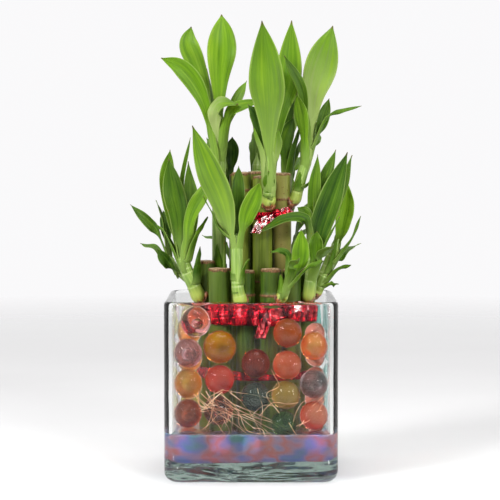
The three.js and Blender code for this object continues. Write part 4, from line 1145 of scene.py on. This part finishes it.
def add_stem(skin, name, shoot, seed):
    """The shoot's stem: a bulb out of the cane, then sheaths that each step in a little."""
    radius = shoot["radius"]
    edges = sorted(row["at"] for row in shoot["leaves"] if 0.05 < row["at"] < 0.97)
    shares = np.unique(np.concatenate([np.linspace(0, 1, 52), edges, np.array(edges) + 0.006]))
    path, bulb = stem_path(name, shoot["stem"], shares)
    length = lengths_along(path)
    tip = 1 - 5 / (length[-1] - length[bulb])
    section = np.array([share - max([0] + [e for e in edges if e < share]) for share in shares])
    radii = (STEM_START - STEM_TAPER * shares) * (0.97 + 0.04 * np.minimum(section / 0.16, 1))
    radii = radii * (1 - 0.88 * smooth(tip, 1, shares)) * (1 + 0.08 * bell(shares, 0.07))
    radii = radius * np.concatenate([STEM_START * np.linspace(0.9, 1.06, bulb), radii])
    out = spokes(STEM_SIDES)
    uneven = 1 + 0.025 * ripple(out * 3.5, 1.0, seed) + 0.02 * ripple(path, 0.25, seed)[:, None]
    climb = np.arange(len(path))[:, None] / bulb
    scabs = 0.5 * ripple(out * 2.6, 1.0, seed + 60) + 0.35 * ripple(out * 9, 1.0, seed + 61)
    marks = np.zeros((len(path), STEM_SIDES, 4))
    marks[:bulb, :, 0] = 1
    marks[bulb:, :, 0] = 1 - smooth(0, 0.3, shares)[:, None]
    # Second mark: a painted highlight on the rings just below each leaf's foot, the sheath's top edge
    marks[bulb:, :, 1] = [[0.6 * any(0 <= e - share < 0.012 for e in edges)] for share in shares]
    marks[..., 3] = smooth(0.12, -0.12, climb - 0.82 - 0.28 * scabs)
    add_rings(skin, tube_rings(path, radii[:, None] * uneven), length, marks)
    add_collar(skin, path, radius, seed)


def add_collar(skin, path, radius, seed):
    """The rough ring of old bark round the place where the bulb breaks out of the cane."""
    spread = np.random.default_rng(seed)
    middle, ahead = path[3], unit(path[5] - path[3])
    across = unit(np.cross(ahead, (0.1, 0.2, 1)))
    ring = middle + spokes(40, across, np.cross(ahead, across)) * radius * 1.14
    thick = 0.7 * (1 + 0.8 * ripple(ring, 1.1, int(spread.integers(1e6))))
    shape = spokes(8, unit(ring - middle)[:, None], ahead) * np.maximum(thick, 0.15)[:, None, None]
    add_loop(skin, ring[:, None] + shape, (1, 0, 0, 1), (0.5, 0.0))


def make_shoot(name, leaf_stuff, stem_stuff, seed):
    shoot = SHOOTS[name]
    skin = Skin()
    add_stem(skin, name, shoot, seed)
    stem_faces = len(skin.faces)
    for number, row in enumerate(shoot["leaves"]):
        add_leaf(skin, shoot, row, seed * 100 + number)
    obj = skin.piece(f"{name}_leafy", stem_stuff, name)
    second_material(obj, leaf_stuff, stem_faces)


# Foil ties
def ribbon_outline(canes, z, clearance):
    """The level outline that a tight ribbon takes round its canes, in even steps."""
    out = spokes(720)
    middles = np.array([cane_line(name, [z])[0] for name in canes]) * (1, 1, 0)
    radii = np.array([CANES[name][3] for name in canes])
    outer = np.argmax(out @ middles.T + radii, axis=1)
    points = middles[outer] + out * (radii[outer] + clearance)[:, None]
    closed = np.vstack([points, points[:1]])
    length = lengths_along(closed)
    even = np.linspace(0, length[-1], STRAND_STEPS + 1)[:-1]
    return np.stack([np.interp(even, length, axis) for axis in closed.T], axis=-1)


def add_strand(skin, tie, share, seed):
    """One crinkled strand of a gathered band: a thin closed loop round the bundle that climbs and
    sinks. share is the strand's place in the band, from 0 inside to 1 outside."""
    middle = (tie["low"] + tie["high"]) / 2
    room = (tie["high"] - tie["low"]) / 2
    outline = ribbon_outline(tie["canes"], middle, 0.35 + 0.45 * share)
    out = np.cross(np.roll(outline, -1, axis=0) - np.roll(outline, 1, axis=0), (0, 0, 1))
    half = room * np.clip(0.26 + 0.2 * ripple(outline, 0.09, seed), 0.1, 0.6)
    centre = middle + np.clip(ripple(outline, 0.07, seed + 1), -1, 1) * (room - half)
    flat = np.repeat(outline[:, None], STRAND_LEVELS, axis=1)
    flat[..., 2] = centre[:, None] + half[:, None] * np.linspace(-1, 1, STRAND_LEVELS)
    pleats = np.abs(ripple(flat * (0.2, 0.2, 1.7), 1.2, seed + 2)) * 0.5
    pleats = pleats + np.abs(ripple(flat * (0.9, 0.9, 0.6), 0.9, seed + 3)) * 0.3
    outside = flat + fan(unit(out), pleats + 0.1)
    inside = flat + fan(unit(out), pleats - 0.1)
    add_loop(skin, np.concatenate([outside, inside[:, ::-1]], axis=1))


def add_ribbon_end(skin, end, seed):
    """A loose end of foil, folded along its length and cut off at a slant."""
    path, width, lift, pale = end
    steps = np.linspace(0, 1, 30)[:, None]
    across = np.linspace(-1, 1, 11)
    middle = curve_at(path, steps[:, 0])
    along = tangents_of(middle)
    face = unit((0, -1, lift))
    normal = unit(face - along * (along @ face)[:, None])
    half = width / 2 * (0.55 + 0.5 * smooth(0, 0.4, steps))
    slant = 0.9 * across * smooth(0.7, 1, steps)
    surface = middle[:, None] + fan(np.cross(along, normal), half * across) + fan(along, slant)
    fold = np.abs(across) * 0.9 * (1 - 0.6 * steps)
    crinkle = ripple(surface, 0.9, seed) * 0.35 + np.abs(ripple(surface, 1.7, seed + 1)) * 0.3
    surface = surface + fan(normal, fold + crinkle)
    thick = normal[:, None] * 0.13
    # The first mark sets how strong the painted pale highlights are on this end
    add_blade(skin, surface + thick, surface - thick, (0.5, 0.5), (pale, 0, 0, 0))


def add_knot(skin, place, seed):
    """A crumpled knot of foil."""
    polar = np.linspace(0.02, math.pi - 0.02, 22)
    shape = spokes(36) * np.sin(polar)[:, None, None] - np.cos(polar)[:, None, None] * (0, 0, 1)
    size = 2.5 * (1 + 0.16 * np.abs(ripple(shape, 3.2, seed)) + 0.07 * ripple(shape, 8, seed + 1))
    add_rings(skin, np.array(place) + shape * size[..., None] * (1.1, 0.8, 1.0), polar)


def make_tie(name, material, seed):
    tie = TIES[name]
    skin = Skin()
    for number in range(STRANDS):
        add_strand(skin, tie, number / (STRANDS - 1), seed + 5 * number)
    if tie["knot"]:
        add_knot(skin, tie["knot"], seed + 20)
    for number, end in enumerate(tie["ends"]):
        add_ribbon_end(skin, end, seed + 30 + number)
    skin.piece(f"{name}_foil", material, name)


# Jelly beads
def add_ball(skin, centre, radius, squash, fineness, seed, inward=False):
    ball = bmesh.new()
    bmesh.ops.create_icosphere(ball, subdivisions=fineness, radius=1)
    points = np.array([v.co[:] for v in ball.verts])
    faces = [tuple(v.index for v in face.verts) for face in ball.faces]
    if inward:
        faces = [face[::-1] for face in faces]
    ball.free()
    size = radius * (0.99 + 0.008 * ripple(points, 1.6, seed))
    skin.add(np.array(centre) + points * size[:, None] * (1, 1, squash), faces)


def make_bead(name, seed):
    slot, first, second, clear, bubble = BEADS[name]
    low, high = (np.array(corner) / MM - (0, 0, DATUM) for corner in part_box(name))
    centre = (low + high) / 2
    radius = (high - low).max() / 2
    stuff, core = jelly(name, first, second, clear, SUNK_IOR if "sunk" in name else JELLY_IOR)
    skin = Skin()
    add_ball(skin, centre, radius, 1.0, 5, seed)
    if bubble:
        place = centre + np.array((0.08, -0.2, -0.06)) * radius
        add_ball(skin, place, radius * bubble, BUBBLE_SQUASH, 4, seed + 50, inward=True)
    outer_faces = len(skin.faces)
    add_ball(skin, centre, radius * CORE_SHARE, 1.0, 4, seed + 90)
    second_material(skin.piece(f"{name}_ball", stuff, name), core, outer_faces)


def make_stack(name, seed):
    slot, x, y, radius, count, first, second = STACKS[name]
    stuff, core = jelly(name, first, second, STACK_CLEAR, roughness=0.04)
    spacing = 2 * radius - STACK_SUNK
    squash = spacing / 2 / radius
    bottom = VASE_FLOOR + STACK_FLOOR_GAP + radius
    places = [np.array((x, y, bottom + layer * spacing)) for layer in range(count)]
    skin = Skin()
    for number, place in enumerate(places):
        add_ball(skin, place, radius, squash, 4, seed + number)
        bubble = place + np.array((0.1, 0.08, -0.1)) * radius
        add_ball(skin, bubble, radius * STACK_BUBBLE, BUBBLE_SQUASH, 3, seed + 50 + number, inward=True)
    outer_faces = len(skin.faces)
    for number, place in enumerate(places):
        add_ball(skin, place, radius * CORE_SHARE, squash, 4, seed + 90 + number)
    second_material(skin.piece(f"{name}_balls", stuff, name), core, outer_faces)


# Roots
def root_line(start, slope, reach, spread, number):
    """A root's wandering line, kept between the beads and the front glass."""
    end = start + (reach * math.cos(slope), spread.uniform(-3, 2), reach * math.sin(slope))
    end[0] = min(end[0], 36)
    end[2] = max(end[2], WATER_LEVEL - spread.uniform(0, 5))
    first_bend = start * 0.65 + end * 0.35 + spread.normal(size=3) * (2.4, 0.5, 2.4)
    second_bend = start * 0.3 + end * 0.7 + spread.normal(size=3) * (2.4, 0.5, 2.4)
    line = curve_at([start, first_bend, second_bend, end], np.linspace(0, 1, 26))
    for k, size in enumerate((0.8, 0.3, 0.8)):
        line[:, k] += ripple(line, 0.2, number * 3 + k) * size
    line[:, 1] = np.clip(line[:, 1], -INNER_HALF + 0.35, -24)
    return line


def make_roots(material):
    """Thin roots that fan out between the beads and the front glass, above the water."""
    spread = np.random.default_rng(11)
    starts = []
    for count, across, forward, up, slopes, reaches in ROOTS:
        for _ in range(count):
            start = np.array([spread.uniform(*across), -spread.uniform(*forward), spread.uniform(*up)])
            slope = math.radians(spread.normal(*slopes))
            starts.append((start, slope, spread.uniform(*reaches)))
    skin = Skin()
    for number, (start, slope, reach) in enumerate(starts):
        line = root_line(start, slope, reach, spread, number)
        radii = np.linspace(0.15, 0.07, len(line)) * spread.uniform(0.7, 1.3)
        add_rings(skin, tube_rings(line, np.repeat(radii[:, None], 6, axis=1)), line[:, 2])
    skin.piece("fine_roots", material)


# Stage
def make_floor():
    """A wide pale floor that fades out into the plain background."""
    n = new_material("pale_floor")
    place = n.node("ShaderNodeVectorMath", {"operation": "LENGTH"})
    n.put(place, "0", n.node("ShaderNodeTexCoord").outputs["Object"])
    shader = n.shader(Base_Color=n.ramp(n.grain((9, 9, 9), 2.0), FLOOR_GREY), Roughness=0.6)
    gone = n.mapped(place.outputs["Value"], FLOOR_FADE)
    stuff = n.finish_both(gone, shader, n.node("ShaderNodeBsdfTransparent"))
    mesh = bpy.data.meshes.new("floor")
    disc = bmesh.new()
    bmesh.ops.create_circle(disc, cap_ends=True, segments=96, radius=FLOOR_RADIUS)
    disc.to_mesh(mesh)
    disc.free()
    mesh.materials.append(stuff)
    floor = bpy.data.objects.new("floor", mesh)
    floor.location = (0, 0, -0.0002)
    bpy.context.collection.objects.link(floor)


def make_world():
    """A studio seen as plain white. For light and reflections it is bright above and behind the
    part, and dim on the camera's side, which draws the edges of the glass."""
    n = Nodes(bpy.data.worlds.new("studio"), "ShaderNodeOutputWorld")
    way = n.node("ShaderNodeSeparateXYZ", Vector=n.node("ShaderNodeTexCoord").outputs["Generated"])
    walls = n.mapped(way.outputs["Y"], (-1.0, 0.6), (0.26, 0.85), "SMOOTHSTEP")
    ceiling = n.mapped(way.outputs["Z"], (0.25, 0.75), (0.0, 0.75), "SMOOTHSTEP")
    room = n.node("ShaderNodeBackground", Color=n.maths("MAXIMUM", walls, ceiling))
    seen = n.node("ShaderNodeBackground", Color=(0.955, 0.95, 0.96))
    camera = n.node("ShaderNodeLightPath").outputs["Is Camera Ray"]
    bpy.context.scene.world = n.finish_both(camera, room, seen)


def make_lamp(name, place, target, size, power):
    lamp = bpy.data.lights.new(name, "AREA")
    lamp.shape = "RECTANGLE"
    lamp.size, lamp.size_y = size
    lamp.energy = power
    x, y, z = np.array(place) - target
    obj = bpy.data.objects.new(name, lamp)
    obj.location = place
    obj.rotation_euler = (math.atan2(math.hypot(x, y), z), 0, math.atan2(y, x) + math.pi / 2)
    bpy.context.collection.objects.link(obj)


def make_camera():
    camera = bpy.data.cameras.new("photo_view")
    camera.sensor_width = CAMERA_SENSOR
    camera.lens = CAMERA_LENS
    obj = bpy.data.objects.new("photo_view", camera)
    obj.location = CAMERA_PLACE
    obj.rotation_euler = (math.radians(CAMERA_PITCH), 0, 0)
    bpy.context.collection.objects.link(obj)
    bpy.context.scene.camera = obj


def dress():
    glass = clear_material(
        "vase_glass", GLASS_TINT, GLASS_DEPTH, GLASS_IOR, mirror=0.4, waves=0.6, swirl=(30, 30, 30),
    )
    water = clear_material(
        "water", WATER_TINT, WATER_DEPTH, WATER_IOR, 0.22, 0.82, 0.3, WATER_STAIN, swirl=(70, 70, 105),
    )
    make_vase(glass)
    make_water(water)
    olive = cane_material("cane_olive", *CANE_OLIVE)
    green = cane_material("cane_green", *CANE_GREEN)
    for number, name in enumerate(CANES):
        make_cane(name, olive if name in TALL else green, 100 + number)
    leaf_stuff = leaf_material()
    stem_stuff = stem_material()
    for number, name in enumerate(SHOOTS):
        make_shoot(name, leaf_stuff, stem_stuff, 200 + number)
    foil = foil_material()
    for number, name in enumerate(TIES):
        make_tie(name, foil, 300 + number * 50)
    for number, name in enumerate(BEADS):
        make_bead(name, 500 + number)
    for number, name in enumerate(STACKS):
        make_stack(name, 600 + number * 10)
    make_roots(root_material())


def main():
    bpy.context.scene.view_settings.view_transform = "Standard"
    dress()
    make_floor()
    make_world()
    for name, settings in LAMPS.items():
        make_lamp(name, *settings)
    make_camera()


main()
